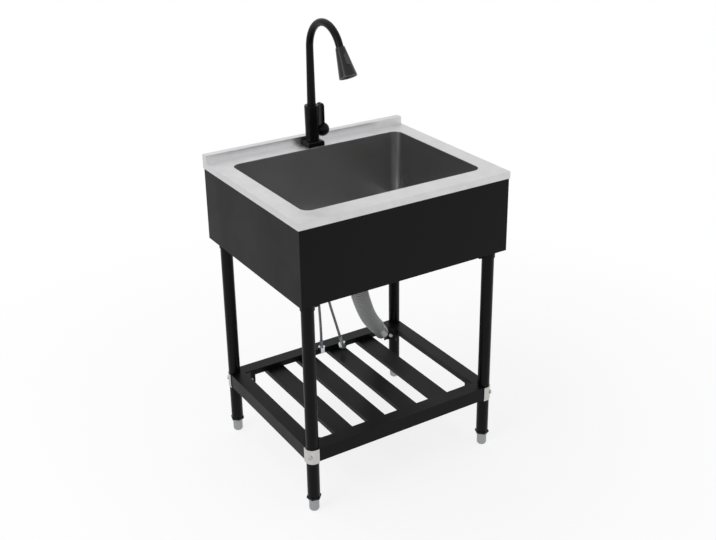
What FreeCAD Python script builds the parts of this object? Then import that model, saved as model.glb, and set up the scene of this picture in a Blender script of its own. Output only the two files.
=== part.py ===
import FreeCAD, Part
import math
import os

import Sketcher

# Free-standing utility sink, in millimetres. +Z is up, the front looks along -Y, and the origin
# is on the floor, under the middle of the worktop.

Vector = FreeCAD.Vector

SIZES = [
    # alias, value, what it measures
    ("width", 600, "worktop, left to right"),
    ("depth", 500, "worktop, front to back"),
    ("height", 800, "floor to worktop"),
    ("top_sheet", 1.5, "worktop sheet"),
    ("edge_drop", 18, "turned-down edge of the worktop"),
    ("upstand_rise", 20, "rear upstand above the worktop"),
    ("upstand_depth", 20, "rear upstand, front to back"),
    ("bowl_length", 508, "bowl mouth, left to right"),
    ("front_ledge", 54, "worktop in front of the bowl"),
    ("rear_ledge", 68, "worktop behind the bowl"),
    ("bowl_depth", 200, "worktop down to the bowl floor"),
    ("bowl_sheet", 1.2, "bowl sheet"),
    ("bowl_corner", 26, "radius of the bowl's upright corners, outside"),
    ("bowl_floor_radius", 19, "radius between wall and floor, outside"),
    ("bowl_draft", 1.2, "lean of the bowl walls, in degrees"),
    ("weld_lip", 3, "lip of the bowl under the worktop"),
    ("skirt_drop", 213, "worktop down to the skirt's lower edge"),
    ("skirt_inset", 2, "skirt behind the worktop's edge"),
    ("skirt_sheet", 1.2, "skirt sheet"),
    ("skirt_flange", 13, "folded flanges of the skirt"),
    ("skirt_tab", 20, "end tabs of the side panels"),
    ("panel_gap", 0.5, "play where folded panels pass each other"),
    ("leg_diameter", 32, "leg tube"),
    ("leg_wall", 1.5, "leg tube wall"),
    ("leg_inset", 34, "leg axis behind the worktop's edges"),
    ("leg_gap", 144, "worktop to the top of a leg"),
    ("foot_height", 43, "floor to the leg's lower end"),
    ("collar_height", 5, "hexagon collar of the leg insert"),
    ("collar_flats", 33, "hexagon collar, across flats"),
    ("insert_length", 34, "insert inside the leg"),
    ("stud_diameter", 12, "foot stud"),
    ("stud_length", 52, "foot stud above the foot"),
    ("stud_play", 0.08, "play round the foot stud, per side"),
    ("foot_diameter", 26, "bullet foot"),
    ("foot_ring", 32, "ring at the top of the foot"),
    ("foot_ring_height", 6, "ring at the top of the foot"),
    ("foot_radius", 8, "rounded end of the foot"),
    ("socket_wall", 2, "leg socket wall"),
    ("socket_play", 0.1, "leg in its socket, per side"),
    ("socket_drop", 22, "socket below the skirt's lower edge"),
    ("socket_cap", 2, "closed top of the socket"),
    ("socket_plate", 2, "corner plate of the socket"),
    ("gusset_reach", 30, "gusset out from the socket"),
    ("grub_diameter", 6, "socket grub screw"),
    ("shelf_top", 187, "floor to the top of the shelf rails"),
    ("rail_width", 38, "shelf rail, top face"),
    ("rail_drop", 38, "outer flange of a shelf rail"),
    ("rail_lip", 16, "inner flange of a shelf rail"),
    ("rail_sheet", 1.2, "shelf sheet"),
    ("mitre_gap", 0.2, "gap at the shelf's mitred corners, per side"),
    ("slat_width", 52, "shelf slat"),
    ("slat_pitch", 100, "from slat to slat"),
    ("slat_depth", 12, "folded sides of a slat"),
    ("clamp_height", 40, "corner clamp"),
    ("clamp_sheet", 1.8, "corner clamp sheet"),
    ("clamp_play", 0.3, "clamp round the leg"),
    ("clamp_tab", 10, "flat ends of the clamp on the rails"),
    ("clamp_screw", 6, "clamp screw"),
    ("clamp_head", 11, "clamp screw head"),
    ("clamp_head_height", 3.5, "clamp screw head"),
    ("clamp_nut_flats", 10, "clamp nut, across flats"),
    ("clamp_nut_height", 5, "clamp nut"),
    ("bracket_reach", 17, "corner bracket along each rail"),
    ("bracket_wing", 12, "corner bracket ends on the rails"),
    ("bracket_sheet", 2, "corner bracket sheet"),
    ("tap_back", 43, "tap axis in front of the worktop's rear edge"),
    ("tap_hole", 33, "hole for the tap"),
    ("plate_width", 48, "tap plate, left to right"),
    ("plate_depth", 44, "tap plate, front to back"),
    ("plate_height", 12, "tap plate"),
    ("plate_chamfer", 2.5, "bevel round the tap plate"),
    ("gasket_height", 1, "gasket under the tap plate"),
    ("gasket_margin", 1, "gasket inside the plate's edge"),
    ("body_height", 97, "tap body"),
    ("body_top_radius", 19.5, "tap body at its top"),
    ("body_foot_radius", 18, "tap body at its foot"),
    ("shank_diameter", 28.4, "threaded tail of the tap"),
    ("shank_wall", 1.6, "wall of the threaded tail"),
    ("shank_length", 60, "threaded tail below the tap body"),
    ("shank_grip", 8, "threaded tail inside the tap body"),
    ("shank_play", 0.3, "plate round the threaded tail, per side"),
    ("washer_radius", 20.5, "washer under the worktop"),
    ("washer_height", 2.5, "washer under the worktop"),
    ("lock_flats", 34, "tap lock nut, across flats"),
    ("lock_height", 10, "tap lock nut"),
    ("hub_rise", 25, "lever hub above the tap plate"),
    ("hub_out", 31, "lever hub from the tap axis"),
    ("ball_radius", 16.2, "fixed ball inside the hub"),
    ("ball_neck", 9, "neck of the ball, radius"),
    ("ball_play", 0.3, "hub round the ball"),
    ("hub_wall", 2, "wall of the hub"),
    ("hub_back", 6.5, "hub behind the ball's middle"),
    ("cartridge_radius", 8, "bore for the cartridge"),
    ("cartridge_play", 0.05, "cartridge in its bore, per side"),
    ("stem_size", 4.4, "lever stem, square"),
    ("stem_play", 0.15, "stem in the cartridge slot, per side"),
    ("lever_height", 73, "lever above the hub's middle"),
    ("lever_width", 28, "lever"),
    ("lever_thickness", 8.5, "lever"),
    ("lever_slant", 3, "how much the lever thins towards its top"),
    ("lever_radius", 7, "upper corners of the lever"),
    ("spout_radius", 9.7, "spout tube"),
    ("spout_foot_radius", 11.5, "spout tube at its foot"),
    ("spout_bore", 7.8, "spout bore, radius"),
    ("spout_column", 153, "straight part of the spout"),
    ("spout_bend", 78, "first bend of the spout"),
    ("spout_reach_bend", 79, "second bend of the spout"),
    ("spout_turn", 151, "whole turn of the spout, in degrees"),
    ("spout_end", 9.5, "straight end of the spout"),
    ("spigot_radius", 10, "spout spigot in the tap body"),
    ("spigot_length", 28, "spout spigot in the tap body"),
    ("spigot_play", 0.06, "spout spigot in its bore, per side"),
    ("head_length", 76, "spray head"),
    ("head_neck_radius", 12, "spray head where it meets the spout"),
    ("head_end_radius", 23, "spray head at its outlet"),
    ("head_wall", 2.2, "rim round the spray face"),
    ("dock_length", 8, "neck of the spray head inside the spout"),
    ("dock_play", 0.08, "neck of the spray head in the spout, per side"),
    ("face_recess", 3, "seat of the spray face"),
    ("face_height", 2.5, "spray face"),
    ("face_play", 0.3, "spray face in its seat, per side"),
    ("aerator_radius", 7, "hollow in the middle of the spray face"),
    ("button_width", 12, "spray button"),
    ("button_length", 30, "spray button"),
    ("button_height", 5, "spray button"),
    ("button_proud", 2, "spray button above the head"),
    ("button_travel", 1.5, "push of the spray button"),
    ("button_play", 0.3, "spray button in its seat, per side"),
    ("button_place", 34, "middle of the spray button below the joint"),
    ("spray_hose_radius", 4.6, "hose inside the spout"),
    ("spray_hose_bore", 3, "bore of the hose inside the spout"),
    ("spray_hose_seat", 10, "hose inside the spray head"),
    ("tail_radius", 3.75, "supply hose"),
    ("tail_offset", 8.6, "supply hose from the tap axis"),
    ("ferrule_radius", 5.2, "crimped sleeve on a supply hose"),
    ("ferrule_length", 17, "crimped sleeve on a supply hose"),
    ("nut_flats", 19, "supply nut, across flats"),
    ("nut_length", 15, "supply nut"),
    ("nut_bore", 7.6, "thread of the supply nut, radius"),
    ("nut_lip", 2.5, "closed end of the supply nut"),
    ("nut_relief", 1, "plain bore between the hose's head and the thread"),
    ("drain_hole", 43.2, "hole in the bowl floor, radius"),
    ("drain_flange", 56, "strainer flange, radius"),
    ("drain_flange_sheet", 1.5, "strainer flange"),
    ("cup_radius", 42.5, "strainer cup, outside radius"),
    ("cup_wall", 1.5, "strainer cup wall"),
    ("cup_depth", 45, "bowl floor to the bottom of the cup"),
    ("outlet_radius", 20, "threaded outlet of the cup"),
    ("outlet_bore", 16.5, "bore of the outlet"),
    ("outlet_length", 17, "outlet below the cup"),
    ("drain_gasket_height", 3, "gasket under the bowl floor"),
    ("drain_nut_radius", 52, "ring nut under the bowl floor"),
    ("drain_nut_height", 12, "ring nut under the bowl floor"),
    ("basket_play", 0.5, "basket in the strainer cup, per side"),
    ("basket_depth", 34, "basket"),
    ("basket_sheet", 1.2, "basket sheet"),
    ("knob_radius", 7, "knob of the basket"),
    ("coupling_radius", 25, "coupling nut of the drain hose"),
    ("coupling_height", 21, "coupling nut of the drain hose"),
    ("coupling_play", 0.1, "coupling nut on its thread, per side"),
    ("hose_collar", 3, "collar of the drain hose"),
    ("hose_crest", 25, "drain hose at its upper ribs, radius"),
    ("hose_end_crest", 21.5, "drain hose at its lowest rib, radius"),
    ("rib_depth", 2.4, "drain hose, crest to valley"),
    ("hose_bore", 15.4, "drain hose bore, radius"),
    ("hose_neck", 17.4, "smooth upper end of the drain hose, radius"),
    ("hose_cuff", 20, "smooth lower end of the drain hose, radius"),
    ("hose_wall", 1.8, "wall of the drain hose"),
    ("rib_pitch", 6, "from rib to rib"),
    ("cuff_length", 56, "smooth lower end of the drain hose"),
]


class Dim:
    """A length worked out from the sheet: its value now and the expression that keeps it."""

    def __init__(self, value, text):
        self.value = value
        self.text = text

    def joined(self, sign, other, value):
        return Dim(value, f"({self.text} {sign} {text_of(other)})")

    def __add__(self, other):
        return self.joined("+", other, self.value + value_of(other))

    def __sub__(self, other):
        return self.joined("-", other, self.value - value_of(other))

    def __mul__(self, other):
        return self.joined("*", other, self.value * value_of(other))

    def __truediv__(self, other):
        return self.joined("/", other, self.value / value_of(other))

    def __neg__(self):
        return self * -1

    def __radd__(self, other):
        return self + other

    def __rmul__(self, other):
        return self * other

    def __rsub__(self, other):
        return -self + other


def root(area):
    return Dim(math.sqrt(area.value), f"sqrt({area.text})")


def value_of(length):
    return length.value if isinstance(length, Dim) else length


def text_of(length):
    return length.text if isinstance(length, Dim) else f"({length:.9g})"


def bind(item, path, length):
    item.setExpression(path, text_of(length))


doc = FreeCAD.newDocument("UtilitySink")
sheet = doc.addObject("Spreadsheet::Sheet", "Sizes")
size = type("Sizes", (), {})()
for row, (alias, value, note) in enumerate(SIZES, start=1):
    sheet.set(f"A{row}", note)
    sheet.set(f"B{row}", str(value))
    sheet.setAlias(f"B{row}", alias)
    setattr(size, alias, Dim(value, f"Sizes.{alias}"))
doc.recompute()

nodes = []


# ---------------------------------------------------------------- building blocks


def new_body(label):
    body = doc.addObject("PartDesign::Body", label)
    body.Label = label
    nodes.append(body)
    return body


def origin_plane(body, role):
    return next(item for item in body.Origin.OriginFeatures if item.Role == role)


def new_sketch(body, name, role="XY_Plane", offset=None):
    """An empty sketch on one of the body's own origin planes, moved along the plane's normal."""
    sketch = body.newObject("Sketcher::SketchObject", f"{body.Label}_{name}")
    sketch.AttachmentSupport = (origin_plane(body, role), [""])
    sketch.MapMode = "FlatFace"
    if offset is not None:
        bind(sketch, "AttachmentOffset.Base.z", offset)
    return sketch


def pin_point(sketch, curve, end, x, y):
    """Holds one end of a curve at (x, y)."""
    for kind, length in (("DistanceX", x), ("DistanceY", y)):
        index = sketch.addConstraint(Sketcher.Constraint(kind, curve, end, value_of(length)))
        bind(sketch, f"Constraints[{index}]", length)


def outline(sketch, corners, arcs=()):
    """A closed outline. A corner is (x, y), or (x, y, radius) where an arc leaves it.

    The arc turns left when its radius is positive and right when it is negative. An arc can also
    be stated as (number of the corner that it leaves, radius).
    """
    for index, radius in arcs:
        corners[index] = (*corners[index], radius)
    plain = [Vector(value_of(c[0]), value_of(c[1]), 0) for c in corners]
    first = sketch.GeometryCount
    for index, corner in enumerate(corners):
        start = plain[index]
        end = plain[(index + 1) % len(corners)]
        if len(corner) == 2:
            sketch.addGeometry(Part.LineSegment(start, end), False)
            continue
        radius = value_of(corner[2])
        chord = end - start
        side = Vector(-chord.y, chord.x, 0).normalize() * (1 if radius > 0 else -1)
        rise = math.sqrt(max(radius * radius - chord.Length * chord.Length / 4, 0))
        centre = (start + end) / 2 + side * rise
        middle = centre - side * abs(radius)
        sketch.addGeometry(Part.Arc(start, middle, end), False)
    for index, corner in enumerate(corners):
        curve = first + index
        following = first + (index + 1) % len(corners)
        x_next, y_next = corners[(index + 1) % len(corners)][:2]
        if len(corner) == 2:
            pin_point(sketch, curve, 1, corner[0], corner[1])
            pin_point(sketch, curve, 2, x_next, y_next)
            continue
        clockwise = value_of(corner[2]) < 0
        here, there = (2, 1) if clockwise else (1, 2)
        before = first + (index - 1) % len(corners)
        before_end = 2 if len(corners[index - 1]) == 2 else (1 if value_of(corners[index - 1][2]) < 0 else 2)
        sketch.addConstraint(Sketcher.Constraint("Coincident", curve, here, before, before_end))
        sketch.addConstraint(Sketcher.Constraint("Coincident", curve, there, following, 1))
        index_radius = sketch.addConstraint(Sketcher.Constraint("Radius", curve, abs(value_of(corner[2]))))
        bind(sketch, f"Constraints[{index_radius}]", -corner[2] if clockwise else corner[2])


def rounded_rectangle(sketch, left, right, front, back, radius):
    outline(
        sketch,
        [
            (left + radius, front),
            (right - radius, front, radius),
            (right, front + radius),
            (right, back - radius, radius),
            (right - radius, back),
            (left + radius, back, radius),
            (left, back - radius),
            (left, front + radius, radius),
        ],
    )


def rectangle(sketch, left, right, front, back):
    outline(sketch, [(left, front), (right, front), (right, back), (left, back)])


def circle(sketch, radius, x=0, y=0):
    centre = Vector(value_of(x), value_of(y), 0)
    curve = sketch.addGeometry(Part.Circle(centre, Vector(0, 0, 1), value_of(radius)), False)
    pin_point(sketch, curve, 3, x, y)
    index = sketch.addConstraint(Sketcher.Constraint("Radius", curve, value_of(radius)))
    bind(sketch, f"Constraints[{index}]", radius)


def hexagon(sketch, across_flats, turn=0.0):
    """A regular hexagon round the sketch's origin, its first corner at the angle turn."""
    corner = across_flats / math.sqrt(3)
    angles = [math.radians(turn + 60 * side) for side in range(6)]
    outline(sketch, [(corner * math.cos(a), corner * math.sin(a)) for a in angles])


def extrude(kind, body, sketch, length, side, flip):
    feature = body.newObject(f"PartDesign::{kind}", f"{sketch.Name}_{kind.lower()}")
    feature.Profile = (sketch, [""])
    if length is None:
        feature.Type = "ThroughAll"
    else:
        bind(feature, "Length", length)
    feature.SideType = side
    feature.Reversed = flip
    return feature


def pad(body, sketch, length, side="One side", flip=False):
    return extrude("Pad", body, sketch, length, side, flip)


def pocket(body, sketch, length=None, side="Symmetric", flip=False):
    """Cuts a sketch out of the body; without a length it cuts right through."""
    return extrude("Pocket", body, sketch, length, side, flip)


def revolve(body, sketch, axis="V_Axis"):
    feature = body.newObject("PartDesign::Revolution", f"{sketch.Name}_revolution")
    feature.Profile = (sketch, [""])
    feature.ReferenceAxis = (sketch, [axis])
    return feature


def turned(label, corners):
    """A body of revolution about Z. The corners are (radius, height)."""
    body = new_body(label)
    sketch = new_sketch(body, "section", "XZ_Plane")
    outline(sketch, corners)
    revolve(body, sketch)
    return body


def edges_where(feature, test):
    doc.recompute()
    found = [f"Edge{n}" for n, edge in enumerate(feature.Shape.Edges, start=1) if test(edge)]
    if not found:
        raise RuntimeError(f"{feature.Label}: no edge found")
    return found


def dress(kind, body, feature, edges, amount):
    """A fillet or a chamfer on some edges of a feature."""
    made = body.newObject(f"PartDesign::{kind}", f"{feature.Name}_{kind.lower()}")
    made.Base = (feature, edges)
    bind(made, "Radius" if kind == "Fillet" else "Size", amount)
    return made


def primitive(kind, body, name, base, turn=None, **lengths):
    """A sphere, cylinder or box inside a body, at base, turned by (axis, angle)."""
    item = body.newObject(f"PartDesign::{kind}", f"{body.Label}_{name}")
    for prop, length in lengths.items():
        bind(item, prop, length)
    if turn is not None:
        item.Placement = FreeCAD.Placement(Vector(), FreeCAD.Rotation(*turn))
    for axis, length in zip("xyz", base):
        bind(item, f"Placement.Base.{axis}", length)
    return item


def place(item, x=0, y=0, z=0, angle=0.0):
    """Moves a finished body and turns it about Z."""
    item.Placement = FreeCAD.Placement(Vector(), FreeCAD.Rotation(Vector(0, 0, 1), angle))
    for axis, length in (("x", x), ("y", y), ("z", z)):
        bind(item, f"Placement.Base.{axis}", length)


def is_level_at(height):
    def test(edge):
        box = edge.BoundBox
        return box.ZLength < 0.01 and abs(box.ZMin - height) < 0.01

    return test


# ---------------------------------------------------------------- shared places

half_width = size.width / 2
half_depth = size.depth / 2
leg_radius = size.leg_diameter / 2
leg_x = half_width - size.leg_inset
leg_y = half_depth - size.leg_inset
under_top = size.height - size.top_sheet
bowl_floor = size.height - size.bowl_depth
bowl_front = size.front_ledge - half_depth
bowl_back = half_depth - size.rear_ledge
bowl_side = size.bowl_length / 2
bowl_middle = (bowl_front + bowl_back) / 2
skirt_bottom = size.height - size.skirt_drop
leg_top = size.height - size.leg_gap
tap_y = half_depth - size.tap_back

# A corner's own frame has its X and Y running inwards along the two panels.
CORNERS = [
    ("front_left", -1, -1, 0),
    ("front_right", 1, -1, 90),
    ("rear_right", 1, 1, 180),
    ("rear_left", -1, 1, 270),
]
OUTWARD = 225  # the angle, in a corner's own frame, that points away from the sink


def place_at_corner(item, corner, turn=0.0):
    name, right, back, angle = corner
    place(item, leg_x * right, leg_y * back, 0, angle + turn)


def corner_group(label, make):
    """Four equal pieces, one at each corner, kept as one group of separate solids."""
    pieces = []
    for corner in CORNERS:
        piece = make(f"{label}_{corner[0]}")
        nodes.remove(piece)
        place_at_corner(piece, corner, OUTWARD)
        pieces.append(piece)
    group = doc.addObject("Part::Compound", label)
    group.Label = label
    group.Links = pieces
    nodes.append(group)
    return group


# ---------------------------------------------------------------- worktop and bowl


def make_worktop():
    """One folded sheet: edges turned down all round and a hollow upstand along the rear."""
    body = new_body("worktop")
    edge_bottom = size.height - size.edge_drop
    crest = size.height + size.upstand_rise
    upstand_front = half_depth - size.upstand_depth
    sheet_ = size.top_sheet

    outside = new_sketch(body, "outside", "YZ_Plane")
    outline(
        outside,
        [
            (-half_depth, edge_bottom),
            (half_depth, edge_bottom),
            (half_depth, crest),
            (upstand_front, crest),
            (upstand_front, size.height),
            (-half_depth, size.height),
        ],
    )
    pad(body, outside, size.width, "Symmetric")

    inside = new_sketch(body, "inside", "YZ_Plane")
    outline(
        inside,
        [
            (sheet_ - half_depth, edge_bottom - 1),
            (half_depth - sheet_, edge_bottom - 1),
            (half_depth - sheet_, crest - sheet_),
            (upstand_front + sheet_, crest - sheet_),
            (upstand_front + sheet_, under_top),
            (sheet_ - half_depth, under_top),
        ],
    )
    pocket(body, inside, size.width - 2 * sheet_)

    mouth = new_sketch(body, "mouth")
    radius = size.bowl_corner - size.bowl_sheet
    rounded_rectangle(mouth, -bowl_side, bowl_side, bowl_front, bowl_back, radius)
    pocket(body, mouth)

    tap_hole = new_sketch(body, "tap_hole")
    circle(tap_hole, size.tap_hole / 2, 0, tap_y)
    pocket(body, tap_hole)


def make_bowl():
    """A drawn tub with leaning walls, a round drain hole and a lip welded under the worktop."""
    body = new_body("bowl")
    sheet_ = size.bowl_sheet
    block = new_sketch(body, "block", "XY_Plane", under_top)
    rounded_rectangle(
        block,
        -bowl_side - sheet_,
        bowl_side + sheet_,
        bowl_front - sheet_,
        bowl_back + sheet_,
        size.bowl_corner,
    )
    tub = pad(body, block, size.bowl_depth - size.top_sheet + sheet_, flip=True)
    bind(tub, "TaperAngle", -size.bowl_draft)
    inside = new_sketch(body, "inside", "XY_Plane", under_top)
    rounded_rectangle(inside, -bowl_side, bowl_side, bowl_front, bowl_back, size.bowl_corner - sheet_)
    hollow = pocket(body, inside, size.bowl_depth - size.top_sheet, "One side")
    bind(hollow, "TaperAngle", -size.bowl_draft)
    inner_floor = edges_where(hollow, is_level_at(value_of(bowl_floor)))
    eased = dress("Fillet", body, hollow, inner_floor, size.bowl_floor_radius - sheet_)
    outer_floor = edges_where(eased, is_level_at(value_of(bowl_floor - sheet_)))
    dress("Fillet", body, eased, outer_floor, size.bowl_floor_radius)

    lip = new_sketch(body, "lip", "XY_Plane", under_top)
    reach = sheet_ + size.weld_lip
    rounded_rectangle(
        lip,
        -bowl_side - reach,
        bowl_side + reach,
        bowl_front - reach,
        bowl_back + reach,
        size.bowl_corner + size.weld_lip,
    )
    rounded_rectangle(lip, -bowl_side, bowl_side, bowl_front, bowl_back, size.bowl_corner - sheet_)
    pad(body, lip, sheet_, flip=True)

    hole = new_sketch(body, "drain_hole", "XY_Plane", bowl_floor + 1)
    circle(hole, size.drain_hole, 0, bowl_middle)
    pocket(body, hole, 2 * sheet_ + 2, "One side")


# ---------------------------------------------------------------- skirt, sockets, legs and feet


def make_skirt_panel(label, web_length, flange_length, tabs):
    """A panel folded to a C. Its outer face is at Y = 0 and its flanges point along +Y."""
    body = new_body(label)
    sheet_ = size.skirt_sheet
    flange = size.skirt_flange
    fold = new_sketch(body, "fold", "YZ_Plane")
    outline(
        fold,
        [
            (0 * flange, skirt_bottom),
            (flange, skirt_bottom),
            (flange, skirt_bottom + sheet_),
            (sheet_, skirt_bottom + sheet_),
            (sheet_, under_top - sheet_),
            (flange, under_top - sheet_),
            (flange, under_top),
            (0 * flange, under_top),
        ],
    )
    pad(body, fold, flange_length, "Symmetric")
    web = new_sketch(body, "web", "XZ_Plane")
    rectangle(web, -web_length / 2, web_length / 2, skirt_bottom, under_top)
    pad(body, web, sheet_, flip=True)
    if tabs:
        low = skirt_bottom + sheet_ + size.panel_gap
        high = under_top - sheet_ - size.panel_gap
        for side in (-1, 1):
            tab = new_sketch(body, "tab_left" if side < 0 else "tab_right", "XZ_Plane")
            end = web_length / 2 * side
            outline(tab, [(end - sheet_ * side, low), (end, low), (end, high), (end - sheet_ * side, high)])
            pad(body, tab, size.skirt_tab, flip=True)
    return body


def make_skirt():
    sheet_ = size.skirt_sheet
    outer_x = half_width - size.skirt_inset
    outer_y = half_depth - size.skirt_inset
    long_web = outer_x * 2
    long_flange = long_web - 2 * (sheet_ + size.panel_gap)
    short_web = outer_y * 2 - 2 * sheet_
    short_flange = outer_y * 2 - 2 * (size.skirt_flange + size.panel_gap)
    place(make_skirt_panel("skirt_front", long_web, long_flange, False), 0, -outer_y, 0, 0)
    place(make_skirt_panel("skirt_rear", long_web, long_flange, False), 0, outer_y, 0, 180)
    place(make_skirt_panel("skirt_left", short_web, short_flange, True), -outer_x, 0, 0, -90)
    place(make_skirt_panel("skirt_right", short_web, short_flange, True), outer_x, 0, 0, 90)


def make_leg_socket(label):
    """A capped tube on a corner plate that lies on the skirt's lower flanges, with two gussets."""
    body = new_body(label)
    bore = leg_radius + size.socket_play
    outside = bore + size.socket_wall
    top = leg_top + size.socket_cap
    low = skirt_bottom - size.socket_drop
    plate_low = skirt_bottom + size.skirt_sheet
    plate_high = plate_low + size.socket_plate

    tube = new_sketch(body, "tube", "XY_Plane", low)
    circle(tube, outside)
    pad(body, tube, top - low)

    edge = -(size.leg_inset - size.skirt_inset - size.skirt_sheet - size.panel_gap)
    reach = outside + size.gusset_reach
    plate = new_sketch(body, "plate", "XY_Plane", plate_low)
    cut = reach - outside / 2
    tab_clear = edge + size.skirt_sheet
    outline(
        plate,
        [(tab_clear, tab_clear), (reach, tab_clear), (reach, reach - cut), (reach - cut, reach), (tab_clear, reach)],
    )
    pad(body, plate, size.socket_plate)

    half = size.socket_plate / 2
    start = bore + size.socket_wall / 2
    for name, plane, flip in (("gusset_x", "XZ_Plane", 1), ("gusset_y", "YZ_Plane", 1)):
        gusset = new_sketch(body, name, plane)
        outline(
            gusset,
            [
                (start, low),
                (outside + size.gusset_reach / 3, low),
                (reach, plate_low - size.socket_drop / 4),
                (reach, plate_high),
                (start, plate_high),
            ],
        )
        pad(body, gusset, half * 2, "Symmetric")

    hollow = new_sketch(body, "hollow", "XY_Plane", leg_top)
    circle(hollow, bore)
    pocket(body, hollow, leg_top - low + 1, "One side")

    screw_hole = new_sketch(body, "screw_hole", "XZ_Plane", -bore)
    circle(screw_hole, size.grub_diameter / 2, 0, (plate_high + top) / 2)
    pocket(body, screw_hole, size.socket_wall + 4, "Symmetric")
    return body


def make_socket_screw(label):
    """A grub screw that bears on the leg through the socket's wall."""
    body = new_body(label)
    start = leg_radius + size.socket_play / 2
    height = (skirt_bottom + size.skirt_sheet + size.socket_plate + leg_top + size.socket_cap) / 2
    shaft = new_sketch(body, "shaft", "XZ_Plane", -start)
    circle(shaft, size.grub_diameter / 2 - 0.05, 0, height)
    pad(body, shaft, size.socket_wall + 3, flip=True)
    key = new_sketch(body, "key", "XZ_Plane", -start - size.socket_wall - 3)
    circle(key, size.grub_diameter / 4, 0, height)
    pocket(body, key, 2, "One side", flip=False)
    return body


def make_leg(label):
    """A round tube with a cross hole for the shelf clamp's screw, along its own X."""
    body = new_body(label)
    ring = new_sketch(body, "ring", "XY_Plane", size.foot_height)
    circle(ring, leg_radius)
    circle(ring, leg_radius - size.leg_wall)
    pad(body, ring, leg_top - size.foot_height)
    hole = new_sketch(body, "screw_hole", "YZ_Plane")
    circle(hole, size.clamp_screw / 2 + size.clamp_play, 0, clamp_middle)
    pocket(body, hole)
    return body


def make_leg_insert(label):
    """A plug pressed into the leg, with a hexagon collar under the tube and a threaded bore."""
    body = new_body(label)
    collar_low = size.foot_height - size.collar_height
    collar = new_sketch(body, "collar", "XY_Plane", collar_low)
    hexagon(collar, size.collar_flats)
    pad(body, collar, size.collar_height)
    plug = new_sketch(body, "plug", "XY_Plane", collar_low)
    circle(plug, leg_radius - size.leg_wall - size.socket_play)
    pad(body, plug, size.collar_height + size.insert_length)
    bore = new_sketch(body, "bore", "XY_Plane", collar_low)
    circle(bore, size.stud_diameter / 2 + size.stud_play)
    pocket(body, bore)
    return body


def make_foot(label):
    """A bullet foot: a ring, a fluted barrel with a rounded end, and a stud."""
    collar_low = size.foot_height - size.collar_height
    barrel = size.foot_diameter / 2
    ring = size.foot_ring / 2
    stud = size.stud_diameter / 2
    body = turned(
        label,
        [
            (0 * ring, 0 * ring),
            (barrel - size.foot_radius, 0 * ring, size.foot_radius),
            (barrel, size.foot_radius),
            (barrel, collar_low - size.foot_ring_height),
            (ring, collar_low - size.foot_ring_height * 0.6),
            (ring, collar_low),
            (stud, collar_low),
            (stud, collar_low + size.stud_length),
            (0 * ring, collar_low + size.stud_length),
        ],
    )
    return body


def make_corner_stands():
    for corner in CORNERS:
        name = corner[0]
        place_at_corner(make_leg_socket(f"leg_socket_{name}"), corner)
        place_at_corner(make_leg(f"leg_{name}"), corner, OUTWARD)
        place_at_corner(make_foot(f"foot_{name}"), corner, OUTWARD)
    corner_group("leg_inserts", make_leg_insert)
    screws = corner_group("socket_screws", make_socket_screw)
    for piece, corner in zip(screws.Links, CORNERS):
        place_at_corner(piece, corner)


# ---------------------------------------------------------------- shelf

shelf_bottom = size.shelf_top - size.rail_drop
clamp_middle = (size.shelf_top + shelf_bottom) / 2 - 2
slat_top = size.shelf_top - size.rail_lip
rail_outer_x = leg_x + leg_radius
rail_outer_y = leg_y + leg_radius


def make_rail(label, length):
    """A folded rail from leg axis to leg axis, mitred inside and notched round both legs.

    Its outer face is at Y = 0, its length runs along X and its width along +Y.
    """
    body = new_body(label)
    sheet_ = size.rail_sheet
    top = size.shelf_top
    fold = new_sketch(body, "fold", "YZ_Plane")
    outline(
        fold,
        [
            (0 * sheet_, shelf_bottom),
            (sheet_, shelf_bottom),
            (sheet_, top - sheet_),
            (size.rail_width - sheet_, top - sheet_),
            (size.rail_width - sheet_, top - size.rail_lip),
            (size.rail_width, top - size.rail_lip),
            (size.rail_width, top),
            (0 * sheet_, top),
        ],
    )
    pad(body, fold, length, "Symmetric")
    for side in (-1, 1):
        end = length / 2 - size.mitre_gap
        past = length / 2 + 1
        far = size.rail_width + 1
        mitre = new_sketch(body, "mitre_left" if side < 0 else "mitre_right")
        outline(
            mitre,
            [
                (end * side, leg_radius),
                (past * side, leg_radius),
                (past * side, far),
                ((end - (far - leg_radius)) * side, far),
            ],
        )
        pocket(body, mitre)
        notch = new_sketch(body, "notch_left" if side < 0 else "notch_right")
        circle(notch, leg_radius + size.clamp_play, length / 2 * side, leg_radius)
        pocket(body, notch)
    return body


def make_slat(label):
    """A flat bar folded down at both sides, its ends tucked under the rails."""
    body = new_body(label)
    sheet_ = size.rail_sheet
    half = size.slat_width / 2
    low = slat_top - size.slat_depth
    fold = new_sketch(body, "fold", "XZ_Plane")
    outline(
        fold,
        [
            (-half, low),
            (sheet_ - half, low),
            (sheet_ - half, slat_top - sheet_),
            (half - sheet_, slat_top - sheet_),
            (half - sheet_, low),
            (half, low),
            (half, slat_top),
            (-half, slat_top),
        ],
    )
    pad(body, fold, (rail_outer_y - sheet_) * 2, "Symmetric")
    return body


DIAGONAL = math.sqrt(0.5)


def diagonal_point(outward, along, side):
    """A point given outwards from a rail face and along it, in the frame whose X points out."""
    return ((outward - along) * DIAGONAL, (outward + along) * DIAGONAL * side)


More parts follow.
